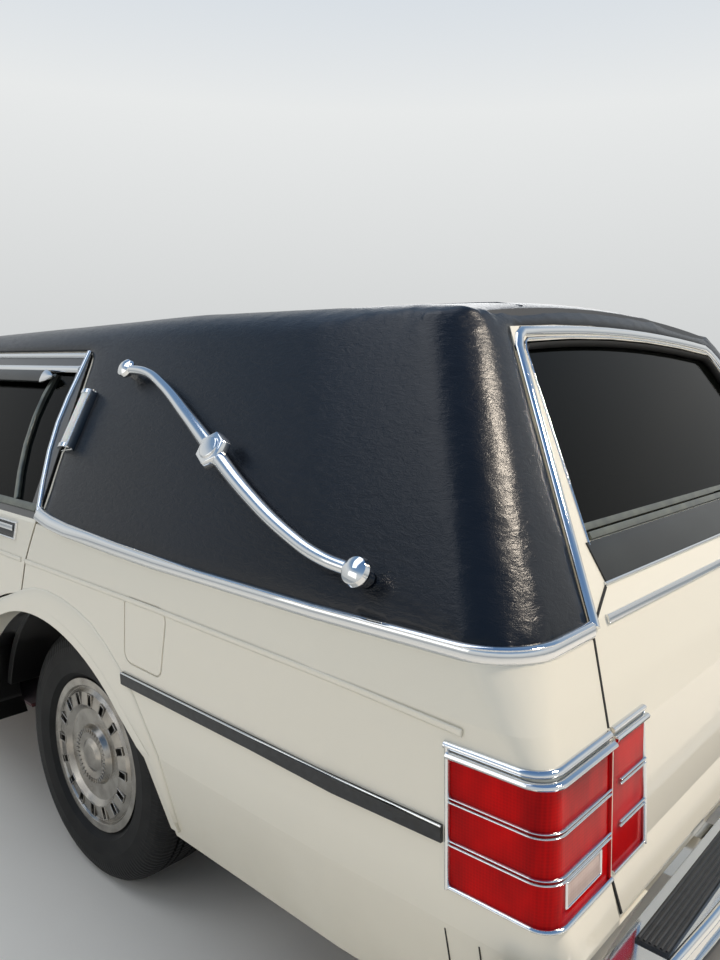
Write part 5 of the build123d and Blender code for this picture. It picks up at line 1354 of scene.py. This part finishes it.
for end, (y, z) in WHEEL_CENTRES.items():
    for part, build, material in (("cover_frames", cover_frames, wheel_steel[end]),
                                  ("cover_shadows", cover_shadows, black_joints_and_painted_shade)):
        def placed(shape):
            build(shape)
            bmesh.ops.translate(shape, vec=(TRACKS[end], y, z), verts=shape.verts)
        both_sides(f"{end}_{part}", placed, material, end + "_{}_wheel")

# %% [markdown]
# Last come the small things: the seams of the filler panels in front of the rear bumper, and a fine
# welt along each sewn seam of the roof covering, found by casting rays at the roof.

# %% Seams and welts
FILLER_SEAMS = (2.460, 2.518)
SEAM_HEIGHTS = (0.360, 0.45, 0.536)
WELT_X = 0.40
WELT_START, WELT_END = -0.52, 2.20


def welt_path():
    """The line of a sewn seam over the roof covering."""
    covering = roof_cover.evaluated_get(bpy.context.evaluated_depsgraph_get())
    path = []
    for y in spread(WELT_START, WELT_END, 44):
        found, place, normal, _ = covering.ray_cast(Vector((WELT_X, y, 2.0)), -UP)
        if found:
            path.append((place.copy(), normal.copy()))
    return path


one_body("filler_seams", swept(*(
    run(along([(y, z) for z in SEAM_HEIGHTS], -0.0005), 0.002, 0.002, square=True, bevel=0.0)
    for y in FILLER_SEAMS)), black_joints_and_painted_shade)
one_body("roof_seam_welts", swept(run(welt_path(), 0.006, 0.004, sides=6)), vinyl)

# %% [markdown]
# A studio for a car is a pale floor and a few very large, soft lamps, because polished paint and
# chrome show the lamps' shapes. The world is pale too: what the camera and the reflections see is
# a bright plain backdrop that turns blue overhead, and what lights the car is a softer sky.

# %% Floor and light


def pale_floor():
    """A wide plain floor that takes the car's shadow."""
    mesh = bpy.data.meshes.new("studio_floor")
    shape = bmesh.new()
    bmesh.ops.create_grid(shape, x_segments=1, y_segments=1, size=30.0)
    shape.to_mesh(mesh)
    shape.free()
    floor = bpy.data.objects.new("studio_floor", mesh)
    scene.collection.objects.link(floor)
    made, tree, shader = finish("pale_floor_paint", "ivory_paint", Roughness=0.9, Specular_IOR_Level=0.1)
    cloud = noise(tree, object_point(tree), 1.5, 6.0)
    wire(tree, shader, Base_Color=ramp(tree, cloud, [(0.3, "#F4F0E9"), (0.7, "#FAF7F1")]))
    mesh.materials.append(made)
    floor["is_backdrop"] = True


def sky():
    """A pale backdrop for the eye and for reflections, and a softer sky that lights the car."""
    world = bpy.data.worlds.new("studio_sky")
    scene.world = world
    world.use_nodes = True
    tree = world.node_tree
    place = add(tree, "ShaderNodeTexCoord")
    height = add(tree, "ShaderNodeSeparateXYZ", {"Vector": place.outputs["Generated"]}).outputs["Z"]
    soft = ramp(tree, height, [(0.0, "#66696A"), (0.15, "#84898C"), (0.5, "#A9B2BB"), (1.0, "#A9B5C4")])
    plain = ramp(tree, height, [(0.0, "#D4D6D6"), (0.3, "#EDEFEF"), (0.42, "#DCE3EA"), (0.6, "#86A4C6"),
                                (1.0, "#5C82B4")])
    rays = add(tree, "ShaderNodeLightPath").outputs
    seen = calc(tree, "ADD", rays["Is Camera Ray"], rays["Is Glossy Ray"])
    seen = calc(tree, "ADD", seen, rays["Is Transmission Ray"], use_clamp=True)
    background = tree.nodes["Background"]
    tree.links.new(mix(tree, seen, soft, plain), background.inputs["Color"])
    background.inputs["Strength"].default_value = 0.95


def soft_lamp(name, place, target, width, height, power, colour="#FFFFFF"):
    """A large rectangular lamp that faces a point."""
    data = bpy.data.lights.new(name, "AREA")
    data.shape = "RECTANGLE"
    data.size = width
    data.size_y = height
    data.energy = power
    data.color = linear(colour)[:3]
    lamp = bpy.data.objects.new(name, data)
    scene.collection.objects.link(lamp)
    lamp.location = place
    lamp.rotation_euler = (Vector(target) - Vector(place)).to_track_quat("-Z", "Y").to_euler()


pale_floor()
sky()
soft_lamp("overhead_lamp", (1.6, 0.0, 5.5), (0.9, 0.0, 0.5), 2.5, 6.0, 75.0)
soft_lamp("key_lamp", (-1.7, 4.9, 5.6), (0.7, 2.3, 1.1), 1.0, 1.0, 265.0, "#FFF0DC")
soft_lamp("side_lamp", (6.5, -0.5, 3.0), (0.9, 0.8, 0.8), 5.0, 2.0, 34.0, "#FFF8EE")
soft_lamp("far_lamp", (-6.0, -2.0, 3.5), (0.0, 0.0, 0.8), 4.0, 2.5, 70.0)

# %% [markdown]
# Both boxes, round the solids and round the dressed car, are printed. The dressed car must be
# no larger than its solids.

# %% Sizes, and the end of the scene
bare = [name for name, piece in nodes.items() if not piece.data.materials]
print("solids without a finish:", bare)
sizes = {"cad": [list(corner) for corner in cad_box], "visual": [list(corner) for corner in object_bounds()]}
print(sizes)
